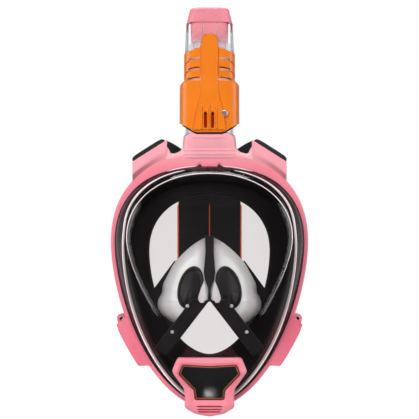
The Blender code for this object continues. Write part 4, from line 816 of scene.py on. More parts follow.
# Painted highlight: the saddles take a paler pink than the blocks beside them.
saddle_highlight = moulded("saddle_painted_highlight", (212, 164, 165), (206, 154, 157), 0.3)
for side, sign in SIDES:
    block = [skin(mirrored(crown_block(), sign), capped=True)]
    piece("crown_block_" + side, block, "mask", "pink_shell", pink, edge=1.0)
    saddle = [skin(mirrored(crown_saddle(), sign), capped=True)]
    piece("crown_saddle_" + side, saddle, "mask", "pink_shell", saddle_highlight)

# %% [markdown]
# ## Release levers
#
# A lever beside each jaw swings out on a pin to free the lower strap. It follows the frame's own outline,
# so it is the same kind of sweep, with a width that narrows to a rounded end. A thin plate on its front
# laps the frame. The knuckle between the frame's lugs is another lug, and it turns with the lever.

# %% Release levers
LEVER_FROM = 123.2
LEVER_TO = 136.6
LEVER_WIDTH = 10.4
LEVER_LAP = 2.6


def lever_blade():
    """Rounded section along the outline; its width eases in at the hinge and out at the tip."""
    share = np.linspace(0.0, 1.0, 44)
    angle = np.radians(LEVER_FROM + (LEVER_TO - LEVER_FROM) * share)
    width = LEVER_WIDTH * (1 - 0.2 * share) * (1 - 0.62 * np.clip((share - 0.86) / 0.14, 0.0, 1.0) ** 2)
    width = width * np.sqrt(np.clip(1 - (np.clip(0.05 - share, 0.0, 1.0) / 0.08) ** 2, 0.1, 1.0))
    turn = full_turn(32)
    out = soft_cos(turn, 0.4)
    deep = soft_sin(turn, 0.4)
    inset = -GAP - width[:, None] * (1 + out) / 2
    middle = (FRAME_EDGE + FRAME_DEPTH) / 2
    depth = middle + (FRAME_DEPTH - FRAME_EDGE) / 2 * deep * np.ones_like(inset)
    return on_frame(angle[:, None], inset, depth)


def lever_plate():
    """A thin plate on the lever's front that laps over the frame's shoulder and runs out along it below."""
    share = np.linspace(0.0, 1.0, 60)
    angle = np.radians(LEVER_FROM - 2.6 + (LEVER_TO - LEVER_FROM + 7.2) * share)
    tip = 1 - smooth_step((share - 0.86) / 0.14)
    top = 0.25 + 0.75 * np.sqrt(np.clip(1 - np.clip((0.08 - share) / 0.05, 0.0, 1.0) ** 2, 0.0, 1.0))
    outer = -GAP - LEVER_WIDTH * (1 - 0.2 * share) * tip * top + 0.4
    turn = full_turn(24)
    out = soft_cos(turn, 0.3)
    deep = soft_sin(turn, 0.5)
    inset = (LEVER_LAP + outer[:, None]) / 2 - (LEVER_LAP - outer[:, None]) / 2 * out
    return on_frame(angle[:, None], inset, -0.5 + 0.75 * deep * np.ones_like(inset))


lever_pink = moulded("lever_pink_plastic", (196, 100, 117), (190, 92, 110), 0.36)
for side, sign in SIDES:
    blade = mirrored(lever_blade(), sign)
    plate = mirrored(lever_plate(), sign)
    point = hinge_point(sign)
    neck = blade[2].mean(0) - point
    neck = neck[[0, 2]] / np.hypot(neck[0], neck[2])
    low = point[1] + FRAME_EDGE + EAR_THICKNESS + GAP
    high = point[1] + FRAME_DEPTH - EAR_THICKNESS - GAP
    knuckle = eyelet(point, neck, KNUCKLE_RADIUS, 5.0, PIN_HOLE, low, high)
    lever = [skin(blade, capped=True), skin(plate, capped=True), skin(knuckle, loop_rows=True)]
    body = "release_lever_" + side
    piece("lever_" + side, lever, body, "deep_pink_shell", lever_pink, body, edge=0.3)

# %% [markdown]
# ## Visor
#
# The visor is one clear dome: a flange under the lip, a steep side wall, a crease and a doubly curved
# window. It could be sculpted, but its outline has to follow the frame. So rings from the flange to the
# middle of the window are worked out from the same outline.

# %% Visor
VISOR_WALL = 2.6
RIM_PROUD = 2.0
WALL_BULGE = 3.0
WINDOW_SHARES = np.linspace(0.92, 0.0, 28)
half_turn = np.pi - np.abs(ring - np.pi)


def window_depth(x, z):
    """A shallow bowl: depth grows with the squares of x and z."""
    return -97.0 + x**2 / 190.0 + (z + 30.0) ** 2 / 312.0


def crease_points(angle):
    """The sharp crease: an egg in front view, spread a little at its foot, on the window's bowl."""
    x, z = egg(angle, 73.4, 33.0, 59.5, 143.0, 2.15, 0.75, 1.65)
    x = x + 3.0 * np.sin(angle)
    return np.stack([x, window_depth(x, z), z], -1)


def visor_wall(angle, share):
    """From the rim in the frame (share 0) to the crease (share 1), swelling outwards between."""
    rim = on_frame(angle, lip_width(angle) + GAP + VISOR_WALL / 2, -RIM_PROUD)
    swell = WALL_BULGE * 4 * share * (1 - share)
    return rim + (crease_points(angle) - rim) * share + swell * outwards(angle)


def crease_bend(angle, share):
    """The rounded crease: a quadratic curve from the wall to the window, pulled towards the sharp crease."""
    wall = visor_wall(angle, 0.9)
    sharp = crease_points(angle)
    x, z = sharp[:, 0] * 0.95, sharp[:, 2] * 0.95
    window = np.stack([x, window_depth(x, z), z], -1)
    return (1 - share) ** 2 * wall + 2 * share * (1 - share) * sharp + share**2 * window


def visor_rows():
    """Rings of the visor's middle surface, from the flange to the middle of the window."""
    depth = LIP_THICKNESS + GAP + VISOR_WALL / 2
    inset = lip_width(ring) + GAP + VISOR_WALL / 2
    rows = [on_frame(ring, FRAME_WALL + GAP, depth), on_frame(ring, inset, depth)]
    rows += [visor_wall(ring, share) for share in np.linspace(0.0, 0.87, 20)]
    rows += [crease_bend(ring, share) for share in np.linspace(0.0, 1.0, 9)]
    crease = crease_points(ring)
    for share in WINDOW_SHARES:
        x, z = crease[:, 0] * share, crease[:, 2] * share
        rows.append(np.stack([x, window_depth(x, z), z], -1))
    return np.array(rows)


# %% [markdown]
# ## The visor's two faces
#
# Solidify could give the visor its wall, but it folds where rows lie close at a tight bend, as at the
# brow. So both faces are worked out: the middle surface moved out and in along its normals, and less at
# the brow.


# %% Visor wall
def visor_normals(rows):
    """Outward directions: the way round crossed with the way in, and straight ahead at the middle."""
    around = np.roll(rows, -1, 1) - np.roll(rows, 1, 1)
    normal = np.cross(around, np.gradient(rows, axis=0))
    length = np.linalg.norm(normal, axis=2, keepdims=True)
    ahead = np.array([0.0, -1.0, 0.0])
    normal = np.where(length > 1e-6, normal / np.maximum(length, 1e-6), ahead)
    from_head = rows - np.array([0.0, 30.0, 0.0])
    return normal * np.sign((normal * from_head).sum(2, keepdims=True))


def visor_shell():
    """Inner face from the window's middle out to the flange, then the outer face back; thin at the brow."""
    rows = visor_rows()
    brow = 1 - smooth_step((half_turn - 0.5) / 0.6)
    near_rim = np.ones(len(rows))
    near_rim[-len(WINDOW_SHARES) :] = smooth_step((WINDOW_SHARES - 0.3) / 0.5)
    thick = VISOR_WALL * (1 - 0.8 * brow * near_rim[:, None])
    offset = visor_normals(rows) * thick[:, :, None] / 2
    return np.concatenate([(rows - offset)[::-1], rows + offset])


piece("visor_dome", [skin(visor_shell())], "mask", "clear_plastic", visor_clear, "visor", crisp=80.0)

# %% [markdown]
# ## Rib, crease and gasket
#
# A rib and the crease are thin bars painted pale as highlights, and a black gasket lies under the lip. Each
# is a round bar along a line on the visor, so one function makes them all, with a radius that changes on the
# way.


# %% Rib, crease and gasket
def bead(path, side_way, radius, count=14, looped=False):
    """A round bar along a line or a loop; side_way is a direction off the line at each point."""
    along = np.roll(path, -1, 0) - np.roll(path, 1, 0) if looped else np.gradient(path, axis=0)
    along /= np.linalg.norm(along, axis=1, keepdims=True)
    off = side_way - along * (side_way * along).sum(1, keepdims=True)
    off /= np.linalg.norm(off, axis=1, keepdims=True)
    over = np.cross(along, off)
    turn = full_turn(count)[:, None]
    grid = path[:, None] + radius * (np.cos(turn) * off[:, None] + np.sin(turn) * over[:, None])
    return skin(grid, loop_rows=looped, capped=not looped)


RIB_ANGLES = np.radians([0.0, 15.0, 32.0, 60.0, 90.0, 100.0, 110.0, 120.0, 140.0, 180.0])
RIB_SHARES = np.array([0.7, 0.7, 0.66, 0.72, 0.9, 0.76, 0.44, 0.22, 0.12, 0.1])


def rib_path():
    """The rib's line on the side wall: its place between rim and crease changes with the angle."""
    steps = 40
    wall = np.stack([visor_wall(ring, share) for share in np.linspace(0.0, 1.0, steps + 1)])
    near = np.abs(half_turn + np.linspace(-0.2, 0.2, 13)[:, None])
    place = np.interp(near, RIB_ANGLES, RIB_SHARES).mean(0) * steps
    row = place.astype(int)
    part = (place - row)[:, None]
    column = np.arange(len(ring))
    line = wall[row, column] * (1 - part) + wall[row + 1, column] * part
    return line + 0.2 * outwards(ring) - np.array([0.0, 0.9, 0.0])


def rib_radius():
    """Nothing at the brow, then thicker and thicker down the side."""
    radius = 0.12 + 0.38 * smooth_step((half_turn - 0.22) / 0.15)
    radius = radius + 0.6 * smooth_step((half_turn - 0.4) / 0.6)
    return (radius + 0.4 * smooth_step((half_turn - 1.6) / 0.6))[:, None, None]


shown = half_turn > 0.24
rib = bead(rib_path()[shown], outwards(ring)[shown], rib_radius()[shown])
piece("visor_rib_highlight", [rib], "mask", "clear_plastic", highlight_paint)
CREASE_END = np.radians(121.0)
upper = np.linspace(-CREASE_END, CREASE_END, 240)
crease_line = crease_bend(upper, 0.5) - np.array([0.0, 1.2, 0.0]) + 0.6 * outwards(upper)
crease_radius = 0.05 + 0.4 * smooth_step((CREASE_END - np.abs(upper)) / 0.7)[:, None, None]
crease = bead(crease_line, outwards(upper), crease_radius)
piece("visor_crease_highlight", [crease], "mask", "clear_plastic", highlight_paint)
gasket_line = on_frame(ring, lip_width(ring) + 0.7, 0.1)
gasket_radius = 0.5 + 1.0 * smooth_step((half_turn - 0.3) / 0.5)[:, None, None]
gasket = bead(gasket_line, outwards(ring), gasket_radius, looped=True)
piece("visor_gasket", [gasket], "mask", "black_silicone", black_rubber)

# %% [markdown]
# ## The lip's painted highlight
#
# Beside the notches the lip's lower edge carries a painted highlight: a thin pale bar that fades out along
# the lip.


# %% Lip gleams
def lip_gleam(sign):
    """A painted highlight on the lip's lower edge beside the notches: a thin bar that fades out along the
    lip.
    """
    angle = sign * np.linspace(0.115, 0.56, 60)
    radius = 0.62 * (1 - 0.75 * smooth_step((np.abs(angle) - 0.3) / 0.26))
    return bead(on_frame(angle, lip_width(angle) + 0.35, -0.1), outwards(angle), radius[:, None, None])


gleams = [lip_gleam(sign) for _, sign in SIDES]
piece("lip_gleams", gleams, "mask", "clear_plastic", highlight_paint)

# %% [markdown]
# ## Face skirt
#
# Behind the visor sits a soft black skirt. It is clamped in the frame, runs back to a fold and turns in
# to the edge that seals on the face. Smooth rows through a few key rings give the fold its roundness, and
# a bead along the edge is the rolled lip that lies on the skin.

# %% Face skirt
SKIRT_WALL = 2.2
SKIRT_SHOULDER = 4.5
SKIRT_DEPTH = 7.3


def face_depth(x, z):
    """Depth of the wearer's face: it curves back with the square of x and leans with z."""
    return x**2 / 170.0 + LEAN * z


def opening_edge(angle):
    """The skirt's sealing edge: an egg in front view, laid on the face."""
    x, z = egg(angle, 58.0, 20.0, 54.0, 97.6, 2.15, 1.85, 1.85)
    return np.stack([x, face_depth(x, z), z], -1)


def skirt_rows():
    """Key rings: flange, shoulder, run back, fold, sealing edge; smoothed between."""
    outer = on_frame(ring, FRAME_WALL + GAP, SKIRT_DEPTH)
    inner = on_frame(ring, lip_width(ring) + SKIRT_SHOULDER, SKIRT_DEPTH)
    x, z = egg(ring, 78.0, 20.0, 66.0, 120.0, 2.1, 1.9, 1.8)
    fold = np.stack([x, face_depth(x, z) + 6.0, z], -1)
    edge = opening_edge(ring)
    turned = fold + (edge - fold) * 0.12
    turned[:, 1] += 1.5
    run = [inner + (fold - inner) * share for share in (0.3, 0.65, 0.92)]
    keys = [outer, inner, *run, turned, (turned + edge) / 2, edge]
    return follow(keys, 64)


lip = opening_edge(ring)
towards_middle = np.array([0.0, 0.0, 10.0]) - lip
piece("skirt", [skin(skirt_rows())], "mask", "black_silicone", black_rubber, "face_skirt", wall=SKIRT_WALL)
rolled = bead(lip, towards_middle, 1.5, 16, looped=True)
piece("skirt_lip", [rolled], "mask", "black_silicone", black_rubber)

# %% [markdown]
# ## Clamping ring
#
# A dark ring behind the skirt's flange presses it into the frame. It is the frame's outline again with a
# four cornered section, and a bevel softens its edges.

# %% Clamping ring
RETAINER_SEAT = 8.7
clamp_inset = lip_width(ring)[:, None] + SKIRT_SHOULDER - SKIRT_WALL - GAP
clamp = swept(
    ring,
    (FRAME_WALL + GAP, RETAINER_SEAT),
    (clamp_inset, RETAINER_SEAT),
    (clamp_inset, FRAME_DEPTH),
    (FRAME_WALL + GAP, FRAME_DEPTH),
)
clamping = [skin(clamp, True)]
piece("clamping_ring", clamping, "mask", "black_plastic", black_plastic, "retaining_ring", edge=0.5)

# %% [markdown]
# ## Nose and mouth pocket
#
# A pale soft pocket keeps the breath off the visor. It is a dome over the nose, widest at the cheeks, and
# open below the nose. Its depth is an ellipse across each height, from the cheeks to the ridge of the
# nose. A step across the cheeks marks where its wall gets thicker.

# %% Nose and mouth pocket
POCKET_WALL = 1.6
POCKET_TOP = 33.0
POCKET_BOTTOM = -48.0
NOSE_TIP_Z = -20.0
NOSE_TIP_Y = -66.0
BRIDGE_SLOPE = 36.0 / 53.0
STEP_Z = -24.6
LIMB_RISE = 4.0
VALVE_X = 17.6
VALVE_Z = -13.2
VALVE_LONG = 20.2
VALVE_SHORT = 11.6
VALVE_TILT = (0.263, 0.965)


def ridge_depth(z):
    """Straight down the bridge of the nose to its tip, then back under the nose."""
    bridge = NOSE_TIP_Y + BRIDGE_SLOPE * (z - NOSE_TIP_Z)
    return np.where(z >= NOSE_TIP_Z, bridge, NOSE_TIP_Y + 0.9 * (NOSE_TIP_Z - z))


def pocket_half_width(z):
    """Rounded in to the top and the bottom by powers, with a slight waist between."""
    above = np.clip((z + 30.0) / 63.0, 0.0, 1.0)
    below = np.clip((-30.0 - z) / 22.0, 0.0, 1.0)
    widest = 50.0 - 1.7 * smooth_step((8.0 - z) / 10.0)
    waist = 2.0 * np.exp(-(((z + 19.0) / 5.0) ** 2))
    return widest * (1 - above**1.6) ** 0.72 * np.sqrt(1 - below**2) - waist


def pocket_depth(x, z):
    """An ellipse across each height, from the cheek's depth to the ridge's; prouder below the step."""
    cheek = face_depth(x, z) - 3.0
    middle = face_depth(0.0, z) - 3.0
    share = np.clip(1 - (x / pocket_half_width(z)) ** 2, 0.0, None) ** 0.5
    step = 1.5 * smooth_step((STEP_Z - z) / 1.0)
    along = (VALVE_X - np.abs(x)) * VALVE_TILT[0] + (z - VALVE_Z) * VALVE_TILT[1]
    off = (np.abs(x) - VALVE_X) * VALVE_TILT[1] + (z - VALVE_Z) * VALVE_TILT[0]
    from_valve = np.hypot(along / VALVE_LONG, off / VALVE_SHORT)
    limb = smooth_step((from_valve - 0.95) / 0.55) * smooth_step((np.abs(x) - 3.0) / 9.0)
    limb = LIMB_RISE * limb * smooth_step((1 - np.abs(x) / pocket_half_width(z)) / 0.4)
    return cheek + (ridge_depth(z) - middle) * share - step * share - limb


def pocket_half():
    """Right half: rows from top to bottom, columns from the middle (or the open edge) to the cheek."""
    z = np.linspace(POCKET_TOP - 1.2, POCKET_BOTTOM, 90)[:, None]
    start = np.clip((NOSE_TIP_Z - z) * 0.9, 0.0, None)
    width = pocket_half_width(z) * 0.992
    x = start + (width - start) * np.sin(np.linspace(0.0, 0.5 * np.pi, 44))
    z = np.broadcast_to(z, x.shape)
    return np.stack([x, pocket_depth(x, z), z], -1)


# Painted shade: the pocket's white greys towards the post in the middle.
POCKET_SHADE_STOPS = (
    (0.08, (168, 172, 173)),
    (0.24, (238, 243, 244)),
    (0.46, (250, 255, 255)),
    (0.8, (246, 251, 252)),
)


def pocket_painted_shade():
    """Pale rubber with painted shade that greys it towards the post: the tone follows the distance from the
    middle.
    """
    look = moulded("pocket_silicone_painted_shade", (250, 250, 250), (246, 246, 247), 0.34, **SOFT_LIGHT)
    tree = look.node_tree
    apart = worked(tree, "ABSOLUTE", coordinate(tree, "X"))
    share = between(tree, apart, 0.0, 1.0, 0.0, 50.0 * MM)
    tree.links.new(tones(tree, share, *POCKET_SHADE_STOPS), tree.nodes["Principled BSDF"].inputs["Base Color"])
    return look


halves = [skin(mirrored(pocket_half(), sign), loop_columns=False) for _, sign in SIDES]
piece("nose_pocket", halves, "mask", "pale_silicone", pocket_painted_shade(), "orinasal_pocket", wall=POCKET_WALL)

# %% [markdown]
# ## Buds beside the nose
#
# Two drops of rubber flank the tip of the nose. A drop is a stack of ellipses that grow from a point and
# close in a round end.


# %% Nose buds
def nose_bud(sign):
    """A drop beside the nose tip: round below, pointed above, an ellipse at every height."""
    t = np.linspace(0.0, 1.0, 26)[:, None]
    size = 1.22 * t**0.85 * np.sqrt(np.clip(1 - t**5, 0.0, 1.0))
    turn = full_turn(32)
    x = 6.4 - 1.4 * (1 - t) + 5.1 * size * np.cos(turn)
    z = -7.0 - 20.6 * t + 0 * turn
    y = ridge_depth(np.maximum(z, NOSE_TIP_Z)) - 1.6 + 3.6 * size * np.sin(turn)
    return mirrored(np.stack([x, y, z], -1), sign)


bud_rubber = moulded("bud_silicone", (230, 230, 231), (218, 218, 220), 0.34)
buds = [skin(nose_bud(sign)) for _, sign in SIDES]
piece("nose_buds", buds, "mask", "pale_silicone", bud_rubber)

# %% [markdown]
# ## Cuffs and gussets
#
# The cheek's cuff ends in a thick edge, and a dark sheet closes the room between the cheek and the skirt.
# The edge is a bar on the pocket's own surface, and the sheet a slanting line carried inwards.


# %% Cuffs and gussets
def cheek_cuff(sign):
    """The thick edge of the cheek's cuff: a bead on a line across the cheek, on the pocket's own surface."""
    x = np.linspace(31.0, 46.4, 40)
    z = STEP_Z - 1.8 + 0.16 * (x - 32.0)
    line = mirrored(np.stack([x, pocket_depth(x, z) - 0.7, z], 1), sign)
    upwards = np.broadcast_to([0.0, 0.0, 1.0], line.shape)
    return bead(line, upwards, 0.7, 10)


def cheek_gusset(sign):
    """A soft sheet from the skirt's edge to the cheek: a slanting line, carried in behind the pocket."""
    line = follow(np.array([(32.6, 11.0), (42.0, -1.8), (50.6, -13.6), (57.0, -22.0)]), 40)
    inward = np.linspace(0.0, 10.0, 12)[:, None]
    x = line[:, 0] - inward
    z = line[:, 1] - inward
    return mirrored(np.stack([x, face_depth(x, z) - 1.6, z], -1), sign)


gussets = [skin(cheek_gusset(sign), loop_columns=False) for _, sign in SIDES]
piece("cheek_gussets", gussets, "mask", "black_silicone", black_rubber, wall=1.2)
cuffs = [cheek_cuff(sign) for _, sign in SIDES]
piece("cheek_cuffs", cuffs, "mask", "pale_silicone", white_rubber)

# %% [markdown]
# ## Inhale valves
#
# Each cheek of the pocket has an oval valve: a dark seat with a raised rim, and a soft flap behind it
# that swings inwards. Both are ovals drawn in front view and laid on the pocket's own surface, lifted off
# it by a profile that runs from the middle to the rim.

# %% Inhale valves
def laid_oval(sign, size, lifts):
    """Rings of an oval on the pocket; lifts lists (share of its radius, lift off the pocket)."""
    turn = full_turn(72)
    share = np.array([share for share, _ in lifts])[:, None]
    lift = np.array([lift for _, lift in lifts])[:, None]
    along = VALVE_LONG * size * share * np.cos(turn)
    off = VALVE_SHORT * size * share * np.sin(turn)
    x = VALVE_X - along * VALVE_TILT[0] + off * VALVE_TILT[1]
    z = VALVE_Z + along * VALVE_TILT[1] + off * VALVE_TILT[0]
    slope_x = pocket_depth(x + 0.5, z) - pocket_depth(x - 0.5, z)
    slope_z = pocket_depth(x, z + 0.5) - pocket_depth(x, z - 0.5)
    steep = np.sqrt(1 + slope_x**2 + slope_z**2)
    return mirrored(np.stack([x, pocket_depth(x, z) - lift * steep, z], -1), sign)


SEAT = ((0.0, 1.9), (0.4, 1.8), (0.7, 1.6), (0.8, 1.5), (0.84, 2.1), (0.9, 2.4), (0.96, 2.2), (1.0, 1.4))
SEAT_UNDER = ((1.0, 0.9), (0.7, 0.9), (0.35, 0.9), (0.0, 0.9))
FLAP_SHARES = (0.0, 0.35, 0.7, 1.0)
FLAP = [(share, -1.1) for share in FLAP_SHARES] + [(share, -2.0) for share in FLAP_SHARES[::-1]]
for side, sign in SIDES:
    seat = [skin(laid_oval(sign, 1.0, SEAT + SEAT_UNDER))]
    seat_node = "inhale_valve_seat_" + side
    piece("valve_seat_" + side, seat, "mask", "black_plastic", black_plastic, seat_node, crisp=60.0)
    flap = [skin(laid_oval(sign, 0.8, FLAP))]
    flap_node = "inhale_valve_flap_" + side
    piece("valve_flap_" + side, flap, flap_node, "dark_silicone", dark_rubber, flap_node)

# %% [markdown]
# ## Nose frame
#
# A black post runs down the bridge of the nose, narrows to a point, and splits into two legs that reach
# the visor's side walls. Together they make the A that shows through the visor. All three are flat bars
# with round edges, swept along a line with a width that changes.

# %% Nose frame
BAR_THICKNESS = 3.0
POST_OFF = 3.1
POST_LEVELS = (-26.0, -23.0, -17.0, -13.5, -6.0, 1.0, 20.0, 31.0, 34.0)
POST_HALF = (2.4, 1.5, 1.1, 1.3, 4.2, 5.4, 3.7, 4.2, 4.3)
LEG_WIDTH = 13.6
APEX_Z = -24.8
LEG_WAY = np.array([0.605, -0.796])
LEG_ACROSS = np.array([0.796, 0.0, 0.605])
LEG_LENGTH = 66.0
LEG_TOP_Y = -70.0
LEG_FOOT_Y = -38.0
LEG_CUT = 0.0685
LEG_JOINT = np.array([0.02, 0.0, 0.0])
bar_u = soft_cos(full_turn(28), 0.35)
bar_v = soft_sin(full_turn(28), 0.5)


def nose_post():
    """Down the ridge: broad at the brow, slim over the bridge, broad again, then a point and a thin link."""
    z = np.linspace(POCKET_TOP + 1.0, APEX_Z - 0.5, 64)
    half = np.interp(z, POST_LEVELS, POST_HALF)
    path = np.stack([0 * z, ridge_depth(np.maximum(z, NOSE_TIP_Z)) - POST_OFF, z], 1)
    out = np.array([0.0, -1.0, BRIDGE_SLOPE])
    out = out / np.linalg.norm(out)
    sideways = np.array([1.0, 0.0, 0.0]) * (half[:, None] * bar_u)[..., None]
    return path[:, None] + sideways + out * (BAR_THICKNESS / 2 * bar_v)[:, None]


def leg_line(share):
    """Middle line of the right leg: its lower edge starts at the apex of the A."""
    start = np.array([0.0, APEX_Z]) + LEG_WIDTH / 2 * LEG_ACROSS[[0, 2]]
    flat = start + LEG_LENGTH * share[..., None] * LEG_WAY
    depth = LEG_TOP_Y + (LEG_FOOT_Y - LEG_TOP_Y) * share
    return np.stack([flat[..., 0], depth, flat[..., 1]], -1)


def nose_leg():
    """A flat bar whose upper end is cut level, so that the two legs meet in a point."""
    start = LEG_CUT * (bar_u + 1)
    share = start + (1 - start) * np.linspace(0.0, 1.0, 30)[:, None]
    along = np.array([LEG_LENGTH * LEG_WAY[0], LEG_FOOT_Y - LEG_TOP_Y, LEG_LENGTH * LEG_WAY[1]])
    facing = np.cross(along, LEG_ACROSS)
    facing /= np.linalg.norm(facing)
    sideways = LEG_ACROSS * (LEG_WIDTH / 2 * bar_u)[:, None]
    return leg_line(share) + sideways + facing * (BAR_THICKNESS / 2 * bar_v)[:, None]


legs = [skin(mirrored(nose_leg() + LEG_JOINT, sign), capped=True) for _, sign in SIDES]
bars = [skin(nose_post(), capped=True), *legs]
piece("nose_frame_bars", bars, "mask", "black_plastic", black_plastic, "nose_frame", edge=0.4)

# %% [markdown]
# ## Studs
#
# Four bright screw heads hold the legs and the seats. A head is a profile turned round the way it faces,
# with a dimple on top. Their places are shares of the leg's length, so they go with it.


# %% Studs
def stud(centre, facing, radius, height):
    """A domed screw head: a quarter ellipse turned round the direction that it faces."""
    facing = np.asarray(facing, float) / np.linalg.norm(facing)
    across = np.cross(facing, [0.0, 0.0, 1.0])
    across /= np.linalg.norm(across)
    over = np.cross(facing, across)
    turn = full_turn(28)[:, None]
    around = np.cos(turn) * across + np.sin(turn) * over
    radii = radius * np.array([0.0, 0.9, 1.0, 1.0, 0.92, 0.7, 0.42, 0.4, 0.0])
    heights = height * np.array([-0.6, -0.6, -0.4, 0.3, 0.62, 0.88, 0.97, 0.7, 0.7])
    return np.asarray(centre) + radii[:, None, None] * around + heights[:, None, None] * facing


STUD_LIFT = np.array([0.6, -1.9, 0.6])
STUD_SIZE = (1.7, 1.3)
STUDS = (("leg_stud_", "leg_screw_", 0.674, 1.8), ("seat_stud_", "valve_screw_", 0.251, 5.3))
for side, sign in SIDES:
    for stud_name, screw, share, off in STUDS:
        spot = leg_line(np.array([share]))[0] + off * LEG_ACROSS + STUD_LIFT
        head = stud(mirrored(spot, sign), (0.35 * sign, -0.85, 0.3), *STUD_SIZE)
        piece(stud_name + side, [skin(head)], "mask", "steel", bright_steel, screw + side)

# %% [markdown]
# ## Snorkel axis and its oval
#
# The snorkel leans back from the mask, so its parts are drawn in their own frame: u across, v to the back
# and h along the tube. Its section is an oblong, a superellipse of power three, and the sleeve, the tube
# and the dry top all use it.

# %% Snorkel frame
LEAN_SINE = math.sin(math.radians(20.0))
LEAN_COSINE = math.cos(math.radians(20.0))
AXIS_Y = -15.868
AXIS_Z = 130.0
SEATED = 3.0
TUBE_WIDE = 22.3
TUBE_DEEP = 16.0
TUBE_WALL = 1.6
around = full_turn(160)


def snorkel(u, v, h):
    """Points of the snorkel's own frame in the model's frame."""
    u, v, h = np.broadcast_arrays(u, v, np.asarray(h) - SEATED)
    y = AXIS_Y + LEAN_COSINE * v + LEAN_SINE * h
    z = AXIS_Z - LEAN_SINE * v + LEAN_COSINE * h
    return np.stack([u, y, z], -1)


def oblong(wide, deep, turn=around, power=3.0):
    """Rounded oblong: a superellipse, squarer with a higher power."""
    return wide * soft_cos(turn, 2 / power), deep * soft_sin(turn, 2 / power)


def oblong_front(u, wide, deep):
    """Half depth of that oblong at a distance from its middle."""
    return deep * np.clip(1 - np.abs(u / wide) ** 3, 0.0, None) ** (1 / 3)


def height_at(z, v):
    """Height along the tube of a point at that level in the model's frame."""
    return (z - AXIS_Z + LEAN_SINE * v) / LEAN_COSINE + SEATED


print("snorkel axis starts at:", AXIS_Y, AXIS_Z)

# %% [markdown]
# ## Neck
#
# The pink neck on top of the frame takes the snorkel's plug. Its mouth is level and falls a little at its
# sides, its foot spreads over the frame's top edge, and two low ribs run across its front. Level rows
# with changing front, back and width give the outside, and slanted rows the bore.

# %% Neck
MOUTH_Z = 130.7
MOUTH_ROUND = 1.6
MOUTH_FALL_Z = 121.0
NECK_LEVELS = np.array([107.0, 109.4, 112.0, 115.7, 119.0, 124.0, 128.0, MOUTH_Z])
NECK_FRONT = np.array([-28.0, -28.9, -29.2, -30.0, -31.6, -33.8, -34.8, -35.2])
NECK_BACK = np.array([-15.0, -13.0, -11.0, -7.0, -3.5, 0.5, 2.4, 3.2])
NECK_WIDE = np.array([25.8, 25.7, 25.5, 25.2, 24.9, 24.6, 24.3, 24.0])
RIB_LEVELS = (114.3, 110.8)


def mouth_drop(u):
    """How far the mouth's edge falls towards the sides."""
    return 2.6 * smooth_step((np.abs(u) - 16.5) / 7.5)


def neck_rows():
    """Level oblongs from the foot to a rounded mouth that falls at the sides, then the bore to its floor."""
    wall_z = np.linspace(NECK_LEVELS[0], MOUTH_Z - MOUTH_ROUND, 70)
    z = np.concatenate([wall_z, MOUTH_Z - MOUTH_ROUND * (1 - np.sin(quarter[1:]))])
    tuck = np.concatenate([0 * wall_z, MOUTH_ROUND * (1 - np.cos(quarter[1:]))])
    front = np.interp(z, NECK_LEVELS, NECK_FRONT)
    back = np.interp(z, NECK_LEVELS, NECK_BACK)
    wide = np.interp(z, NECK_LEVELS, NECK_WIDE) - tuck
    rib = sum(np.exp(-(((z - level) / 0.9) ** 4)) for level in RIB_LEVELS) * 0.7
    middle, deep = (front + back) / 2, (back - front) / 2 - tuck
    u, v = oblong(wide[:, None], deep[:, None])
    y = middle[:, None] + v - rib[:, None] * (v < 0) * np.clip(-v / deep[:, None], 0.0, 1.0) ** 0.5
    fall = mouth_drop(u) * smooth_step((z[:, None] - MOUTH_FALL_Z) / (MOUTH_Z - MOUTH_FALL_Z))
    outside = np.stack([u, y, z[:, None] - fall], -1)
    u, v = oblong(TUBE_WIDE + GAP, TUBE_DEEP + GAP)
    top = height_at(MOUTH_Z - 0.4 - mouth_drop(u), v)
    bore = np.array([snorkel(u, v, top - drop) for drop in (0.0, 2.0, 5.0)])
    floor_point = np.broadcast_to(bore[-1].mean(0), bore[-1].shape)
    foot_point = np.broadcast_to(outside[0].mean(0), outside[0].shape)
    return np.concatenate([foot_point[None], outside, bore, floor_point[None]])


neck_pink = moulded("neck_pink_plastic", (221, 154, 162), (215, 144, 154), 0.36)
piece("neck", [skin(neck_rows())], "mask", "pink_shell", neck_pink, "snorkel_socket")

# %% [markdown]
# ## Tube and seal
#
# The breathing tube is clear, with two walls inside that part the fresh air from the used. It shows at
# the neck and through the sleeve's slots. A soft ring round it lies on the neck's mouth.

# %% Tube and seal
TUBE_TOP = 83.0
SEAL_RADIUS = 0.8


def tube_rows():
    """Outer wall up, inner wall down: one closed skin."""
    u, v = oblong(TUBE_WIDE, TUBE_DEEP)
    low = height_at(MOUTH_Z - 6.0, v)
    outside = [snorkel(u, v, low + (TUBE_TOP - low) * share) for share in np.linspace(0.0, 1.0, 14)]
    u, v = oblong(TUBE_WIDE - TUBE_WALL, TUBE_DEEP - TUBE_WALL)
    inside = [snorkel(u, v, low + (TUBE_TOP - low) * share) for share in np.linspace(1.0, 0.0, 14)]
    return np.array(outside + inside)


def partition(middle):
    """A flat wall inside the tube, from front to back, as a rounded bar along its height."""
    deep = float(oblong_front(middle, TUBE_WIDE - TUBE_WALL, TUBE_DEEP - TUBE_WALL)) - 0.2
    turn = full_turn(16)
    h = np.linspace(12.0, TUBE_TOP - 0.4, 12)[:, None]
    return snorkel(middle + 0.7 * np.cos(turn), deep * np.sin(turn), h)


walls = [skin(partition(7.2 * sign), capped=True) for _, sign in SIDES]
piece("breathing_tube", [skin(tube_rows(), True), *walls], "snorkel", "clear_plastic", clear, "snorkel_tube")

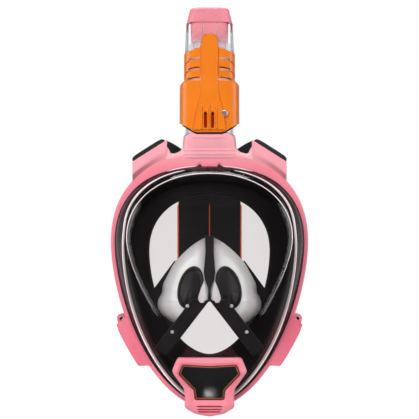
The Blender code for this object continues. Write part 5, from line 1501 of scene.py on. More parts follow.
u, v = oblong(TUBE_WIDE + 0.7, TUBE_DEEP + 0.7)
seal_path = snorkel(u, v, height_at(MOUTH_Z - 1.1 - mouth_drop(u), v))
seal = bead(seal_path, seal_path - seal_path.mean(0), SEAL_RADIUS, looped=True)
piece("plug_seal", [seal], "snorkel", "black_silicone", black_rubber, "socket_seal")

# %% [markdown]
# ## Orange sleeve
#
# A sleeve snaps over the tube. Its lower half swells to a grip and ends in an apron over the neck, and
# its upper half is snug. A turned shape would not do, because the section is oblong, so the wall is a
# grid round and up whose two half widths change with height.

# %% Sleeve
SLEEVE_WALL = 1.3
GRIP_SWELL = 4.0
SHOULDER_TOP = 54.1
SHOULDER_TALL = 7.1
SLOT_HEIGHTS = (71.8, 61.8, 51.9)
SLOT_NEAR = 9.2
SLOT_FAR = 20.0
APRON_Z = 130.95
APRON_RISE = 7.9


def sleeve_size(h):
    """Half width and half depth of the sleeve's outside: snug above, swollen below the shoulder."""
    swell = GRIP_SWELL * smooth_step((SHOULDER_TOP - h) / SHOULDER_TALL)
    return TUBE_WIDE + GAP + SLEEVE_WALL + swell, TUBE_DEEP + GAP + SLEEVE_WALL + swell


def sleeve_foot(u, v):
    """Height of the lower edge: an apron in front, level at the sides and the back."""
    level = APRON_Z + APRON_RISE * np.clip((np.abs(u) - 12.4) / 15.0, 0.0, 1.0) ** 1.05
    level = np.where(v < 0, level, APRON_Z + APRON_RISE)
    return height_at(level, v)


SPINE_PROUD = 3.0
SPINE_TOP = 94.6
SPINE_ROUND = 3.0
SPINE_LEVELS = (-3.0, 3.7, 19.5, 28.5, 40.5, 50.0, 84.0, SPINE_TOP)
SPINE_HALF = (16.2, 15.4, 12.6, 9.7, 8.1, 8.0, 8.5, 6.6)


def spine_half(h):
    """Half width of the spine: flared at its foot, parallel above, narrowing along its tongue."""
    return np.interp(h, SPINE_LEVELS, SPINE_HALF)


def sleeve_rows():
    """Outer wall from the lower edge up, then the inner wall back down."""
    levels = np.concatenate([np.linspace(0.0, 0.45, 40), np.linspace(0.46, 1.0, 110)])
    turn = full_turn(224)
    u0, v0 = oblong(*sleeve_size(0.0), turn)
    foot = sleeve_foot(u0, v0)
    top = TUBE_TOP - GAP - 2.6 * smooth_step((np.abs(u0) - 8.0) / 15.0)
    h = foot + (top - foot) * levels[:, None]
    wide, deep = sleeve_size(h)
    u, v = oblong(wide, deep, turn)
    beside = np.exp(-(((np.abs(u) - spine_half(h) - 0.9) / 1.1) ** 2)) * (v < 0)
    sink = 1 - 0.3 * beside / np.hypot(u, v)
    outside = snorkel(u * sink, v * sink, h)
    h = foot + (top - foot) * np.linspace(1.0, 0.0, 60)[:, None]
    wide, deep = sleeve_size(h)
    u, v = oblong(wide - SLEEVE_WALL, deep - SLEEVE_WALL, turn)
    return np.concatenate([outside, snorkel(u, v, h)])


# %% [markdown]
# ## Slots and grooves
#
# Three slots to each side let the tube show, and a groove runs on from each round the side. They could be
# drawn into the wall's grid, but a cut gives crisp edges. Bars with the shape of the hole are cut away:
# straight ones right through for the slots, and curved ones for the grooves.


# %% Slots and grooves
def groove_bar(height, sign):
    """A curved bar that runs on from a slot round the sleeve's side, for cutting a groove."""
    turn = np.linspace(-0.86, 0.35, 40)
    wide, deep = sleeve_size(height)
    past = np.linspace(0.0, 1.0, 40)
    line = height - 1.3 - 4.4 * past**0.8
    rows = []
    for reach, lift in ((1.5, -1.15), (1.5, 1.15), (-0.95, 0.9), (-0.95, -0.9)):
        u, v = oblong(wide + reach, deep + reach, turn)
        rows.append(snorkel(sign * u, v, line + lift))
    return np.stack(rows, 1)


def slot_bar(height, sign):
    """A rounded bar right through the sleeve, from beside the spine almost to its side."""
    turn = full_turn(32)
    middle, half = (SLOT_NEAR + SLOT_FAR) / 2, (SLOT_FAR - SLOT_NEAR) / 2
    u = middle + half * soft_cos(turn, 0.35)
    tall = 1.95 - 0.06 * (u - SLOT_NEAR)
    h = height + tall * soft_sin(turn, 0.6)
    droop = -0.014 * (u - SLOT_NEAR) ** 2
    v = np.array([-26.0, 26.0])[:, None]
    level = LEAN_SINE / LEAN_COSINE * (v + TUBE_DEEP)
    return snorkel(sign * u, v, h + droop + level)


# %% [markdown]
# ## Spine, ribs and vents
#
# A raised spine runs down the front, flared at its foot, where three ribs and two vents lie. Rows across
# the spine follow the sleeve and stand proud of it, with a bead along both edges.


# %% Spine, ribs and vents
def spine_rows():
    """Across the front from edge to edge, with a raised bead along both edges and a rounded tip."""
    straight = np.linspace(-2.4, SPINE_TOP - SPINE_ROUND, 90)
    h = np.concatenate([straight, SPINE_TOP - SPINE_ROUND * (1 - np.sin(quarter[1:]))])
    tip = np.concatenate([np.ones_like(straight), 1 - 0.42 * (1 - np.cos(quarter[1:]))])
    half = (spine_half(h) * tip)[:, None]
    share = np.linspace(-1.0, 1.0, 33)
    u = half * share
    wide, deep = sleeve_size(h)
    surface = oblong_front(u, wide[:, None], deep[:, None])
    swell = GRIP_SWELL * smooth_step((74.0 - h) / 50.0)[:, None]
    smooth = oblong_front(u, TUBE_WIDE + GAP + SLEEVE_WALL + swell, TUBE_DEEP + GAP + SLEEVE_WALL + swell)
    ridge = 0.8 * np.exp(-(((np.abs(u) - half + 0.9) / 0.6) ** 2))
    rise = np.sqrt(np.clip(1 - np.clip((np.abs(share) - 0.93) / 0.07, 0.0, 1.0) ** 2, 0.0, 1.0))
    front = -(surface + (smooth - surface + SPINE_PROUD + ridge) * rise)
    back = -surface + 0.5
    face = snorkel(u, front, h[:, None])
    rear = snorkel(u, back, h[:, None])
    return np.concatenate([face, rear[:, ::-1]], 1)


RIB_OFFSETS = (-7.2, -0.3, 6.6)
VENT_OFFSETS = (-3.7, 2.9)
VENT_LOW = -1.2
VENT_HIGH = 15.2


def foot_rib(offset):
    """A low rib on the spine's foot: a half round bar that sinks into the spine at its top."""
    h = np.linspace(-2.2, 22.0, 40)[:, None]
    turn = np.linspace(0.0, np.pi, 13)
    wide, deep = sleeve_size(h)
    u = offset + 1.0 * np.cos(turn)
    proud = SPINE_PROUD - 0.4 + 2.8 * np.sin(turn) * np.sqrt(np.clip(1 - (h / 22.2) ** 6, 0.0, 1.0))
    front = -(oblong_front(u, wide, deep) + proud)
    face = snorkel(np.broadcast_to(u, front.shape), front, h)
    rear = snorkel(np.broadcast_to(u, front.shape), front * 0 - deep + 1.0, h)
    return np.concatenate([face, rear[:, ::-1]], 1)


def vent_bar(offset):
    """The upright vent between two ribs, as a rounded bar for cutting."""
    turn = full_turn(32)
    u = offset + 1.5 * soft_cos(turn, 0.6)
    middle, half = (VENT_LOW + VENT_HIGH) / 2, (VENT_HIGH - VENT_LOW) / 2
    h = middle + half * soft_sin(turn, 0.3)
    return snorkel(u, np.array([-30.0, -18.5])[:, None], h)


# %% [markdown]
# ## Putting the sleeve together
#
# The sleeve, its spine and its ribs are separate skins that lie in each other, so no join has to be
# modelled. The vents go through both the sleeve and its spine, so both get the same bars.

# %% Sleeve pieces
sleeve_cuts = [
    weld("slot", skin(bar(height, sign), capped=True))
    for bar in (slot_bar, groove_bar)
    for height in SLOT_HEIGHTS
    for _, sign in SIDES
]
vents = [weld("vent", skin(vent_bar(offset), capped=True)) for offset in VENT_OFFSETS]
sleeve_cuts += vents
sleeve = [skin(sleeve_rows(), True)]
piece("sleeve", sleeve, "snorkel", "orange_sleeve", orange, "snorkel_cover", cuts=sleeve_cuts, crisp=50.0)
spine = [skin(spine_rows(), capped=True)]
spine_cuts = [mesh.copy() for mesh in vents]
piece("sleeve_spine", spine, "snorkel", "orange_sleeve", orange, cuts=spine_cuts, crisp=50.0)
ribs = [skin(foot_rib(offset), capped=True) for offset in RIB_OFFSETS]
piece("sleeve_ribs", ribs, "snorkel", "orange_sleeve", orange)

# %% [markdown]
# ## Hem, liner and backing
# A dark bead under the apron is painted shade. Behind the slots a tinted sheet is painted warm light inside
# the tube, and a dark red plate in the vents is painted shade. They are small, so each is one bar or one
# sheet.


# %% Painted shade and warm light at the sleeve
def apron_shadow_bead():
    """Painted shade under the apron, a dark bead: an oblong at the lower edge's height, a little deeper at
    its sides.
    """
    u, v = oblong(TUBE_WIDE + 2.4, TUBE_DEEP + 2.4)
    drop = 0.1 + 1.2 * smooth_step((np.abs(u) - 9.0) / 7.0)
    path = snorkel(u, v, sleeve_foot(*oblong(*sleeve_size(0.0))) - drop)
    return bead(path, path - path.mean(0), 0.8, looped=True)


piece("apron_shadow_bead", [apron_shadow_bead()], "snorkel", "black_silicone", black_rubber)


def slot_warm_light_sheet():
    """Painted warm light: a tinted sheet inside the tube, behind the slots, the front half of the oblong
    carried up.
    """
    u, v = oblong(TUBE_WIDE - 3.0, TUBE_DEEP - 3.0, np.linspace(-np.pi + 0.2, -0.2, 60))
    return np.array([snorkel(u, v, h) for h in np.linspace(45.0, 79.0, 12)])


# Painted warm light: a warm tint seen through the sleeve's slots.
warm_light_clear = see_through("warm_light_tint", (255, 216, 194), (250, 206, 182), (200, 160, 140))
warm_sheet = [skin(slot_warm_light_sheet(), loop_columns=False)]
piece("slot_warm_light_sheet", warm_sheet, "snorkel", "clear_plastic", warm_light_clear, wall=0.5)


def vent_shadow_plate():
    """Painted shade in the two vents: a dark red upright oval plate behind them."""
    turn = full_turn(24)
    levels = np.array([-19.0, -18.4])[:, None]
    return snorkel(6.6 * np.cos(turn) - 0.4, levels, 7.0 + 9.2 * np.sin(turn))


piece("vent_shadow_plate", [skin(vent_shadow_plate(), capped=True)], "snorkel", "orange_sleeve", vent_shadow_red)

# %% [markdown]
# ## Sleeve screw
#
# One screw on a low boss holds the sleeve. Both are the stud's profile in other sizes, set where the
# sleeve's front lies at that height.

# %% Sleeve screw
SCREW_ACROSS = 13.9
SCREW_UP = 13.6
SCREW_FACING = (0.25, -0.95, 0.1)
wide, deep = sleeve_size(SCREW_UP)
screw_front = float(oblong_front(SCREW_ACROSS, wide, deep)) + SPINE_PROUD + 0.2
screw_place = snorkel(SCREW_ACROSS, -screw_front, SCREW_UP)
boss = stud(screw_place + np.array([0.0, 1.6, 0.0]), SCREW_FACING, 3.7, 2.4)
piece("screw_boss", [skin(boss)], "snorkel", "orange_sleeve", orange)
screw = stud(screw_place, SCREW_FACING, 2.9, 1.5)
piece("sleeve_screw", [skin(screw)], "snorkel", "steel", steel, "cover_screw")

# %% [markdown]
# ## Dry top
#
# The float chamber on top is clear, with an upright air slot near each side, under a pink cap that lets
# light through. The chamber is the oblong again, drawn in a little at its top, and the cap closes in
# rounded rows to its flat roof.

# %% Dry top
CHAMBER_LOW = 83.3
CHAMBER_TOP = 110.0
CAP_LOW = CHAMBER_TOP - 0.8
CAP_TOP = 125.6
CAP_ROUND = 3.6


def boxy(more):
    """The tube's oblong with squarer corners, larger all round by a margin."""
    return oblong(TUBE_WIDE + more, TUBE_DEEP + more, around, 5.0)


def chamber_rows():
    """Outer wall up, inner wall down, drawn in towards the cap."""
    h = np.linspace(CHAMBER_LOW, CHAMBER_TOP, 20)
    drawn = np.interp(h, [CHAMBER_LOW, 100.0, CHAMBER_TOP], [0.7, 0.0, -0.8])
    outside = [snorkel(*boxy(more), at) for at, more in zip(h, drawn)]
    inside = [snorkel(*boxy(more - 1.4), at) for at, more in zip(h, drawn)]
    return np.array(outside + inside[::-1])


def air_slot(sign):
    """The upright slot right through the chamber near its side, as a rounded bar for cutting."""
    turn = full_turn(32)
    u = 18.4 * sign + 1.2 * soft_cos(turn, 0.6)
    h = 97.4 + 10.6 * soft_sin(turn, 0.25)
    v = np.array([-24.0, 24.0])[:, None]
    return snorkel(u, v, h + LEAN_SINE / LEAN_COSINE * (v + TUBE_DEEP))


def cap_rows():
    """Sides that close in with height, a rounded shoulder and a flat roof, then the inside."""
    rows = []
    for less in (0.0, 1.5):
        side_h = np.linspace(CAP_LOW, CAP_TOP - CAP_ROUND, 10)
        side_in = np.interp(side_h, [CAP_LOW, CAP_TOP], [0.3, 4.1])
        round_h = CAP_TOP - CAP_ROUND + (CAP_ROUND - less) * np.sin(quarter[1:])
        round_in = side_in[-1] + 2.6 * (1 - np.cos(quarter[1:]))
        roof_in = np.array([8.0, 13.0])
        h = np.concatenate([side_h, round_h, [CAP_TOP - less] * 2])
        inset = np.concatenate([side_in, round_in, roof_in]) + less
        part = [snorkel(*boxy(-more), at) for at, more in zip(h, inset)]
        part.append(snorkel(0 * around, 0 * around, CAP_TOP - less))
        rows.append(np.array(part))
    return np.concatenate([rows[0], rows[1][::-1]])


GLOWING = {"Subsurface_Weight": 0.5, "Subsurface_Scale": 0.01, "Subsurface_Radius": (1.0, 0.6, 0.68)}
pink_clear = moulded("pink_clear_plastic", (206, 122, 134), (201, 115, 128), 0.26, 0.01, **GLOWING)


air_slots = [weld("air_slot", skin(air_slot(sign), capped=True)) for _, sign in SIDES]
housing = "dry_top_housing"
chamber = [skin(chamber_rows(), True)]
cap_cuts = [mesh.copy() for mesh in air_slots]
piece("float_chamber", chamber, "snorkel", "clear_plastic", clear, housing, cuts=air_slots, crisp=50.0)
cap = [skin(cap_rows(), True)]
piece("chamber_cap", cap, "snorkel", "pink_cap", pink_clear, "dry_top_cap", cuts=cap_cuts, crisp=50.0)

# %% [markdown]
# ## The cap's inner sleeve
#
# The cap reaches into the chamber with a thin sleeve that is pink near the cap and hardly shows below. A
# colour that fades with height gives that, and the sleeve itself is one more oblong tube.


# %% The cap's inner sleeve
def fading_pink(low, high):
    """Clear plastic with pink behind its upper end: the cover fades in with height."""
    look = moulded("fading_pink_plastic", (250, 164, 172), (247, 157, 166), 0.3, 0.01)
    tree = look.node_tree
    cover = between(tree, coordinate(tree, "Z"), 0.06, 0.8, low * MM, high * MM)
    tree.links.new(cover, tree.nodes["Principled BSDF"].inputs["Alpha"])
    return look


def cap_skirt():
    """The cap's inner sleeve: an oblong tube that hangs into the chamber."""
    h = np.linspace(90.0, CHAMBER_TOP + 1.0, 12)
    outside = [snorkel(*oblong(17.7, 13.5, around, 5.0), at) for at in h]
    inside = [snorkel(*oblong(16.7, 12.8, around, 5.0), at) for at in h[::-1]]
    return np.array(outside + inside)


piece("cap_skirt", [skin(cap_skirt(), True)], "snorkel", "pink_cap", fading_pink(212.0, 231.0))

# %% [markdown]
# ## Posts, tabs and float
#
# Two posts guide the float, and two tabs of the cap lie in front of it. Posts and tabs are round bars
# with soft ends, and the float is an oblong block that rides on its own body.


# %% Posts, tabs and float
def upright(u, v, radius, low, high):
    """A round post with softened ends."""
    turn = full_turn(24)
    radii = radius * np.array([0.0, 0.85, 1.0, 1.0, 0.85, 0.0])
    h = np.array([low, low, low + 0.3, high - 0.3, high, high])
    around_u = u + radii[:, None] * np.cos(turn)
    return snorkel(around_u, v + radii[:, None] * np.sin(turn), h[:, None])


float_pale = moulded("float_plastic", (226, 206, 210), (220, 196, 202), 0.4, 0.02, Alpha=0.35)
for side, sign in SIDES:
    post = [skin(upright(7.2 * sign, 0.0, 1.3, 83.4, 109.0))]
    piece("guide_post_" + side, post, "snorkel", "clear_plastic", clear, "float_post_" + side)
    tab = [skin(upright(7.4 * sign, -13.7, 0.8, 97.5, 110.6))]
    piece("cap_tab_" + side, tab, "snorkel", "pink_cap", float_pale)


def float_rows():
    """A rounded oblong block, closed at both ends."""
    inset = np.array([15.0, 1.2, 0.0, 0.0, 1.2, 15.0])
    h = np.array([83.8, 83.8, 85.0, 97.0, 98.2, 98.2])
    return np.array([snorkel(*oblong(15.6 - less, max(12.4 - less, 0.1)), at) for at, less in zip(h, inset)])


block = [skin(float_rows(), capped=True)]
piece("float_block", block, "float", "pink_shell", float_pale, "dry_top_float")

# %% [markdown]
# ## Chin drain
#
# Below the mouth the visor carries a drain under a pink cover shaped like a muzzle, with a dark gloss
# panel let into it and three slots below. Cover and panel are drawn in the drain's own plane, which
# tilts, each as an outline of a few points with rounded corners.

# %% The drain's plane and outlines
CHIN_Y = -85.462
CHIN_Z = -90.0
CHIN_FRONT = 15.5
CHIN_BACK = -32.0
CHIN_TILT = (0.93335, 0.35898)
CHIN_HALF = np.array(
    [(0.0, -38.0), (13.0, -35.4), (22.8, -29.0), (22.6, -16.0), (23.4, -10.0), (34.6, 6.8), (29.2, 20.5)]
)
PANEL_HALF = np.array([(12.8, -20.6), (13.6, -11.7), (27.4, 4.2), (24.4, 12.8), (0.0, 11.5)])
CHIN_CORNER = 2.8
PANEL_CORNER = 1.4
CHIN_POINTS = 360
CHIN_MIDDLE = -4.0


def chin(a, up, out):
    """Points of the drain's own plane (across, up, outwards) in the model's frame."""
    a, up, out = np.broadcast_arrays(a, up, out)
    y = CHIN_Y - CHIN_TILT[1] * up - CHIN_TILT[0] * out
    z = CHIN_Z + CHIN_TILT[0] * up - CHIN_TILT[1] * out
    return np.stack([a, y, z], -1)


def closed_outline(half, corner):
    """Right half and its mirror as one loop with rounded corners, at even angles round the drain's middle."""
    left = half[::-1] * np.array([-1.0, 1.0])
    loop = np.concatenate([half, left[left[:, 0] < 0]])
    before = np.roll(loop, 1, 0) - loop
    after = np.roll(loop, -1, 0) - loop
    reach_before = np.minimum(corner / np.linalg.norm(before, axis=1), 0.45)[:, None, None]
    reach_after = np.minimum(corner / np.linalg.norm(after, axis=1), 0.45)[:, None, None]
    t = np.linspace(0.0, 1.0, 8)[:, None]
    first = loop[:, None] + before[:, None] * reach_before
    last = loop[:, None] + after[:, None] * reach_after
    bends = first * (1 - t) ** 2 + 2 * loop[:, None] * t * (1 - t) + last * t**2
    runs = last + (np.roll(first, -1, 0) - last) * np.linspace(0.0, 1.0, 40)[1:-1, None]
    curve = np.concatenate([bends, runs], 1).reshape(-1, 2)
    angle = np.arctan2(curve[:, 0], CHIN_MIDDLE - curve[:, 1])
    order = np.argsort(angle)
    radius = np.hypot(curve[:, 0], curve[:, 1] - CHIN_MIDDLE)
    even = np.linspace(-np.pi, np.pi, CHIN_POINTS, endpoint=False)
    radius = np.interp(even, angle[order], radius[order], period=2 * np.pi)
    return np.stack([radius * np.sin(even), CHIN_MIDDLE - radius * np.cos(even)], 1)


def inset_outline(outline, distance):
    """The outline moved inwards along its own normals."""
    along = np.roll(outline, -1, 0) - np.roll(outline, 1, 0)
    along /= np.linalg.norm(along, axis=1, keepdims=True)
    return outline + distance * np.stack([-along[:, 1], along[:, 0]], 1)


print("drain outline points:", len(closed_outline(CHIN_HALF, CHIN_CORNER)))

# %% [markdown]
# ## Drain cover
#
# The cover is its outline carried from the visor to the front edge, over a rounded border and down to the
# panel, and back along the inside. A closed copy of the visor trims it, so that it sits on the dome. Dark red
# bars in its three slots are painted shade.

# %% Drain cover
EDGE_WIDE = 3.0
EDGE_DEEP = 3.2
COVER_WALL = 2.5
COVER_FACE = 4.0


def level_walls(out):
    """How far the walls drop towards the visor, so that they run level to the back."""
    return CHIN_TILT[1] / CHIN_TILT[0] * (CHIN_FRONT - out)


def chin_rows():
    """Side wall, rounded edge, sloping border, panel edge, then the inside of the shell."""
    cover = closed_outline(CHIN_HALF, CHIN_CORNER)
    panel = closed_outline(PANEL_HALF, PANEL_CORNER)
    rows = [(cover, CHIN_BACK), (cover, -10.0), (cover, CHIN_FRONT - EDGE_DEEP)]
    for a in quarter[1:]:
        drawn = inset_outline(cover, EDGE_WIDE * (1 - np.cos(a)))
        rows.append((drawn, CHIN_FRONT - EDGE_DEEP * (1 - np.sin(a))))
    edge = inset_outline(cover, EDGE_WIDE)
    lip = inset_outline(panel, -1.2)
    across = np.array([0.12, 0.25, 0.36, 0.5, 0.7, 0.85, 1.0])
    ridge = np.interp(across, [0.0, 0.3, 0.4, 1.0], [0.0, 1.2, 1.3, -0.4])
    rows += [(edge + (lip - edge) * share, CHIN_FRONT + rise) for share, rise in zip(across, ridge)]
    rows += [(inset_outline(panel, -0.5), CHIN_FRONT - 0.7), (inset_outline(panel, -0.35), CHIN_FRONT - 1.4)]
    inside = inset_outline(cover, COVER_WALL)
    rows += [(inset_outline(panel, -0.35), CHIN_FRONT - COVER_FACE), (inside, CHIN_FRONT - COVER_FACE)]
    rows += [(inside, CHIN_BACK)]
    return np.array([chin(outline[:, 0], outline[:, 1] - level_walls(out), out) for outline, out in rows])


def drain_slot(up, half, tall, low, high):
    """One slot below the panel, or the dark red bar of painted shade in its ground: a rounded bar from low to
    high.
    """
    turn = full_turn(28)
    a = half * soft_cos(turn, 0.3)
    rise = up + tall * soft_sin(turn, 0.7)
    return chin(a, rise, np.array([low, high])[:, None])


def dome_envelope():
    """A closed solid just outside the visor, for trimming what sits on it."""
    rows = visor_rows()[2:]
    grown = rows + visor_normals(rows) * (VISOR_WALL / 2 + GAP)
    back = grown[:1] * np.array([1.0, 0.0, 1.0]) + np.array([0.0, 30.0, 0.0])
    middle = np.broadcast_to(back.mean((0, 1)), back.shape)
    return np.concatenate([middle, back, grown])


DRAIN_SLOTS = ((-27.5, 12.0), (-30.4, 11.4), (-33.2, 10.6))
openings = [drain_slot(up, half, 0.95, CHIN_FRONT - 3.4, CHIN_FRONT + 3.0) for up, half in DRAIN_SLOTS]
drain_cuts = [weld("drain_slot", skin(opening, capped=True)) for opening in openings]
drain_cuts.append(weld("dome_envelope", skin(dome_envelope())))
chin_cover = [skin(chin_rows(), True)]
piece("chin_shell", chin_cover, "mask", "pink_shell", deep_pink, "chin_cover", cuts=drain_cuts, crisp=50.0)
# Painted shade: dark red for the shaded floors of the three slots.
slot_shadow_red = moulded("slot_shadow_red_plastic", (168, 32, 48), (150, 24, 40), 0.5)
shadow_grounds = [drain_slot(up, half + 0.2, 1.1, CHIN_FRONT - 3.6, CHIN_FRONT - 0.9) for up, half in DRAIN_SLOTS]
piece("slot_shadow_grounds", [skin(ground, capped=True) for ground in shadow_grounds], "mask", "pink_shell", slot_shadow_red)

# %% [markdown]
# ## Drain panel
#
# The dark panel is a flat plate with a bevelled edge. A dark red bar painted as the shade in its groove and a
# thin brass bead run round it, both bars along its outline.


# %% Drain panel
def panel_rows():
    """The dark panel: its back from the middle out, a bevelled edge and a flat face to the middle again."""
    panel = closed_outline(PANEL_HALF, PANEL_CORNER)
    flat = inset_outline(panel, 0.5)
    face = CHIN_FRONT - 0.8
    middle = np.array([0.0, -2.5])
    rows = [(panel * 0.0 + middle, face - 2.5), (panel, face - 2.5), (panel, face - 0.5), (flat, face)]
    rows += [(middle + (flat - middle) * share, face) for share in (0.8, 0.6, 0.4, 0.2, 0.0)]
    return np.array([chin(outline[:, 0], outline[:, 1], out) for outline, out in rows])


def panel_line(inset, below, radius, count):
    """A bead round the panel: its outline moved inwards, at a depth below the cover's front."""
    line = inset_outline(closed_outline(PANEL_HALF, PANEL_CORNER), inset)
    path = chin(line[:, 0], line[:, 1], CHIN_FRONT - below)
    return bead(path, path - path.mean(0), radius, count, looped=True)


panel = [skin(panel_rows())]
piece("gloss_panel", panel, "mask", "black_gloss", black_gloss, "chin_panel", crisp=30.0)
brass_edge = moulded("brass_edge", (150, 104, 62), (128, 84, 50), 0.4, 0.01)
piece("panel_bead", [panel_line(0.7, 0.75, 0.32, 8)], "mask", "black_gloss", brass_edge)
# Painted shade: a dark red bar for the shaded groove round the panel.
groove_shadow_red = moulded("groove_shadow_red_plastic", (112, 24, 38), (96, 18, 32), 0.5)
piece("panel_groove_shadow", [panel_line(-0.5, 0.7, 0.6, 10)], "mask", "pink_shell", groove_shadow_red)

# %% [markdown]
# ## Straps
#
# Woven bands run from the crown blocks over the head to a pad, and from the pad to the hooks by the jaw.
# Their weave has ribs across and finer threads along. Two waves on the cloth coordinates of the band give
# it, so that it follows the band round every bend.


# %% Webbing
def woven(name, tone, deep):
    """Webbing: ribs across the band and finer threads along it, from waves on the cloth coordinates."""
    look = bpy.data.materials.new(name)
    look.use_nodes = True
    tree = look.node_tree
    shader = tree.nodes["Principled BSDF"]
    cloth = tree.nodes.new("ShaderNodeUVMap")
    cloth.uv_map = "cloth"
    threads = []
    for axis, pitch in (("X", 0.9), ("Y", 1.3)):
        wave = tree.nodes.new("ShaderNodeTexWave")
        wave.bands_direction = axis
        wave.inputs["Scale"].default_value = 1 / (pitch * MM) / 6.4
        wave.inputs["Distortion"].default_value = 0.6
        tree.links.new(cloth.outputs["UV"], wave.inputs["Vector"])
        threads.append(wave.outputs["Fac"])
    weave = worked(tree, "MULTIPLY", *threads)
    hue = tones(tree, weave, (0.0, deep), (0.8, tone))
    tree.links.new(hue, shader.inputs["Base Color"])
    tree.links.new(between(tree, weave, 0.85, 0.7, 0.0, 1.0), shader.inputs["Roughness"])
    tree.links.new(relief(tree, weave, 0.25), shader.inputs["Normal"])
    shader.inputs["Specular IOR Level"].default_value = 0.25
    return look


webbing = woven("strap_webbing", (48, 48, 51), (38, 38, 40))
piping = moulded("orange_piping", (226, 104, 52), (208, 86, 42), 0.55)

# %% [markdown]
# ## Bands
#
# A band is a path with a width direction, and its section is a thin oblong. Orange piping along its edges
# is a thin cord on the same path.


# %% Bands
def band_frame(points, widths, across, ends, count):
    """Path of a band with its width, width direction and outward direction at each step."""
    path = follow(points, count)
    wide = follow(np.asarray(widths, float)[:, None], count)
    across = follow(across, count)
    along = np.gradient(path, axis=0)
    along[[0, -1]] = ends
    along /= np.linalg.norm(along, axis=1, keepdims=True)
    across = across - along * (across * along).sum(1, keepdims=True)
    across /= np.linalg.norm(across, axis=1, keepdims=True)
    return path, wide, across, np.cross(along, across)


def band_skin(path, wide, across, out, thickness, seam=0.0):
    """Thin oblong section along the path; a seam pinches the middle of the band."""
    turn = full_turn(56)
    u = soft_cos(turn, 0.5)
    v = soft_sin(turn, 0.25)
    pinch = 1 - seam * np.exp(-((u * wide / 2 / 1.6) ** 2))
    points = path[:, None] + across[:, None] * (wide * u / 2)[..., None]
    points = points + out[:, None] * (thickness / 2 * v * pinch)[..., None]
    run = np.concatenate([[0.0], np.cumsum(np.linalg.norm(np.diff(path, axis=0), axis=1))])
    cloth = np.stack(np.broadcast_arrays(wide * u / 2, run[:, None]), -1)
    return skin(points, capped=True, cloth=cloth)


def edge_cord(path, wide, across, out, share, radius=0.55):
    """A thin cord sewn along the band, at a share of its half width."""
    line = path + across * wide / 2 * share
    turn = full_turn(10)[:, None]
    grid = line[:, None] + radius * (np.cos(turn) * across[:, None] + np.sin(turn) * out[:, None])
    return skin(grid, capped=True)


# %% [markdown]
# ## Head pad
#
# Where the four straps meet, a soft pad lies on the back of the head. It is a wide band with a seam down its
# middle.

# %% Head pad
STRAP_WIDTH = 30.0
STRAP_THICKNESS = 2.4
PAD_Y = 172.0
DOWN = (0.0, 0.0, -1.0)
BACKWARDS = (0.0, 1.0, 0.0)
FORWARDS = (0.0, -1.0, 0.0)
PAD_CORDS = ((-1.0, 1.1), (0.0, 0.8), (1.0, 1.1))
pad_keys = [(0.0, PAD_Y - 7.0, 63.2), (0.0, PAD_Y, 24.0), (0.0, PAD_Y - 4.1, -15.2)]
pad_frame = band_frame(pad_keys, [60.6] * 3, [(1.0, 0.0, 0.0)] * 3, (DOWN, DOWN), 40)
pad = [band_skin(*pad_frame, STRAP_THICKNESS + 0.4, 0.6)]
head_pad = piece("head_pad", pad, "mask", "strap_webbing", webbing, "back_pad")
cords = [edge_cord(*pad_frame, share, radius) for share, radius in PAD_CORDS]
piece("pad_piping", cords, "mask", "strap_webbing", piping)

# %% [markdown]
# ## The four straps
#
# The upper straps leave the plates behind the crown blocks and fall to the pad, and the lower ones go
# round to the hooks. Each is a spline through a few points round an adult head.

# %% The four straps
PLATE = 4.0
HOOK_TURN = np.radians((124.2, 133.2))
HOOK_NEAR = FRAME_WALL * 0.4
HOOK_FAR = -GAP - 5.8


def crown_anchor():
    """Middle of the right anchor plate, its direction along the block's top and its length."""
    inner, outer = crown_corners()
    along = (outer - inner) / np.linalg.norm(outer - inner)
    up = np.array([-along[1], along[0]])
    return (inner + outer) / 2 - 1.8 * up, along, up, np.linalg.norm(outer - inner)


def upper_strap(sign):
    """From behind the crown block back over the head and down to the pad."""
    middle, along, _, _ = crown_anchor()
    start = crown_back() + GAP + PLATE + GAP
    x = (STRAP_WIDTH + GAP) / 2
    end_y = PAD_Y - 7.0
    keys = [
        (middle[0], start, middle[1]),
        (middle[0] * 0.93, start + 28.0, middle[1] + 3.0),
        (middle[0] * 0.62, end_y * 0.58, 106.0),
        (x * 1.02, end_y - 14.0, 84.0),
        (x, end_y, 62.6),
    ]
    edge = (along[0], 0.0, along[1])
    across = [edge, edge, (0.95, 0.0, -0.3), (1.0, 0.0, 0.0), (1.0, 0.0, 0.0)]
    widths = [STRAP_WIDTH * 0.9] + [STRAP_WIDTH] * 4
    keys = mirrored(np.array(keys), sign)
    return band_frame(keys, widths, mirrored(np.array(across), sign), (BACKWARDS, DOWN), 70)


def hook_end():
    """Where the right lower strap ends: the middle of the hook's flat back."""
    angle = np.linspace(*HOOK_TURN, 6)
    near = on_frame(angle, HOOK_NEAR, FRAME_DEPTH + GAP + PLATE)
    far = on_frame(angle, HOOK_FAR, FRAME_DEPTH + GAP + PLATE)
    back = max(near[:, 1].max(), far[:, 1].max())
    middle = (near[2:4].mean(0) + far[2:4].mean(0)) / 2
    return np.array([middle[0], back + 0.6, middle[2]])


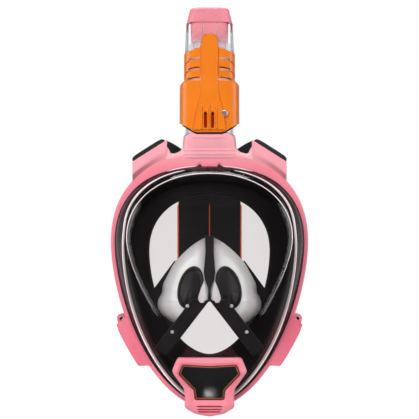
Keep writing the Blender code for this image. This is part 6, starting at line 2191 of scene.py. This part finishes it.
def lower_strap(sign):
    """From the pad round the side of the head to the hook by the jaw."""
    x = (STRAP_WIDTH + GAP) / 2
    start_y = PAD_Y - 4.6
    end = hook_end()
    keys = [
        (x, start_y, -14.6),
        (x * 1.1, start_y - 2.0, -24.9),
        (x * 1.8, start_y - 10.0, -39.0),
        (end[0] * 0.55, start_y * 0.82, -48.0),
        (end[0] * 0.78, start_y * 0.56, end[2] + 8.0),
        (end[0] * 0.90, start_y * 0.28, end[2] + 2.0),
        (end[0] * 1.03, end[1] + 14.0, end[2] + 0.5),
        tuple(end),
    ]
    lean = np.array([0.0, 0.25, 0.75, 1.0, 1.0, 1.0, 1.0, 1.0])
    across = np.stack([1.0 - lean, 0 * lean, lean], 1)
    widths = 18.0 + 12.0 * (1.0 - lean)
    keys = mirrored(np.array(keys), sign)
    return band_frame(keys, widths, mirrored(across, sign), (DOWN, FORWARDS), 90)


CORD_FROM = {"upper_strap_": 36, "lower_strap_": 0}
for side, sign in SIDES:
    for name, run in (("upper_strap_", upper_strap(sign)), ("lower_strap_", lower_strap(sign))):
        band = [band_skin(*run, STRAP_THICKNESS)]
        piece(name + "band_" + side, band, "mask", "strap_webbing", webbing, name + side)
        sewn = [part[CORD_FROM[name] :] for part in run]
        cords = [edge_cord(*sewn, share) for share in (-0.985, 0.985)]
        piece(name + "piping_" + side, cords, "mask", "strap_webbing", piping)

# %% [markdown]
# ## Anchors and hooks
#
# The upper straps end in dark plates behind the crown blocks, whose top edges show as a stripe along the
# slope, and the lower straps in small hooks behind the levers. Both are flat plates with rounded corners.


# %% Anchors and hooks
def plate_rows(outline, low, high, rounding):
    """A flat plate in front view: the outline from one depth to another, its two rims drawn in."""
    middle = outline.mean(0)
    rows = []
    for shrink, y in ((1.0, low), (0.0, low + rounding), (0.0, high - rounding), (1.0, high)):
        drawn = inset_outline(outline, rounding * shrink)
        rows.append(np.stack([drawn[:, 0], np.full(len(drawn), y), drawn[:, 1]], 1))
    first = rows[0] * 0 + np.array([middle[0], low, middle[1]])
    last = rows[0] * 0 + np.array([middle[0], high, middle[1]])
    return np.array([first, *rows, last])


def anchor_plate(sign):
    """An oblong plate along the crown block's top, just behind the block."""
    middle, along, up, length = crown_anchor()
    turn = full_turn(64)
    across = 0.46 * length * soft_cos(turn, 0.3)
    tall = 6.0 * soft_sin(turn, 0.45)
    outline = middle + across[:, None] * along + tall[:, None] * up
    back = crown_back() + GAP
    return mirrored(plate_rows(outline, back, back + PLATE, 0.6), sign)


def strap_hook(sign):
    """A plate behind the frame's rim, which follows it and is flat at its back."""
    angle = np.linspace(*HOOK_TURN, 20)
    section = [(HOOK_NEAR, 13.0), (HOOK_FAR, 13.0), (HOOK_FAR, 17.0), (HOOK_NEAR, 17.0)]
    hook = np.stack([on_frame(angle, inset, depth) for inset, depth in section], 1)
    hook[:, 2:, 1] = hook[:, 2:, 1].max()
    return mirrored(hook, sign)


for side, sign in SIDES:
    anchor = [skin(anchor_plate(sign))]
    piece("anchor_" + side, anchor, "mask", "black_plastic", black_plastic, "strap_anchor_" + side)
    hook = [skin(strap_hook(sign), capped=True)]
    piece("hook_" + side, hook, "mask", "black_plastic", black_plastic, "strap_hook_" + side, edge=0.8)

# %% [markdown]
# ## Solids that stay
#
# The drain's valve, the float's seal and the hinge pins are already right as solids. They keep their
# shape and take the finish of their slot.

# %% Finishes for the solids that stay
kept = {
    "drain_valve_seat": black_plastic,
    "drain_valve_flap": white_rubber,
    "float_seal": white_rubber,
    "hinge_pin_left": black_plastic,
    "hinge_pin_right": black_plastic,
}
for node, look in kept.items():
    solid = frame["nodes"][node].data
    solid.materials.clear()
    solid.materials.append(look)
print("solids kept:", len(kept))

# %% [markdown]
# ## Sizes
#
# The skins must not change the part's size, so the box of the solids and the box of the dressed part are
# written side by side.

# %% Write the two boxes and finish
dressed_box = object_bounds()
for name, box in (("cad", cad_box), ("visual", dressed_box)):
    print(name, [round(value, 4) for corner in box for value in corner])
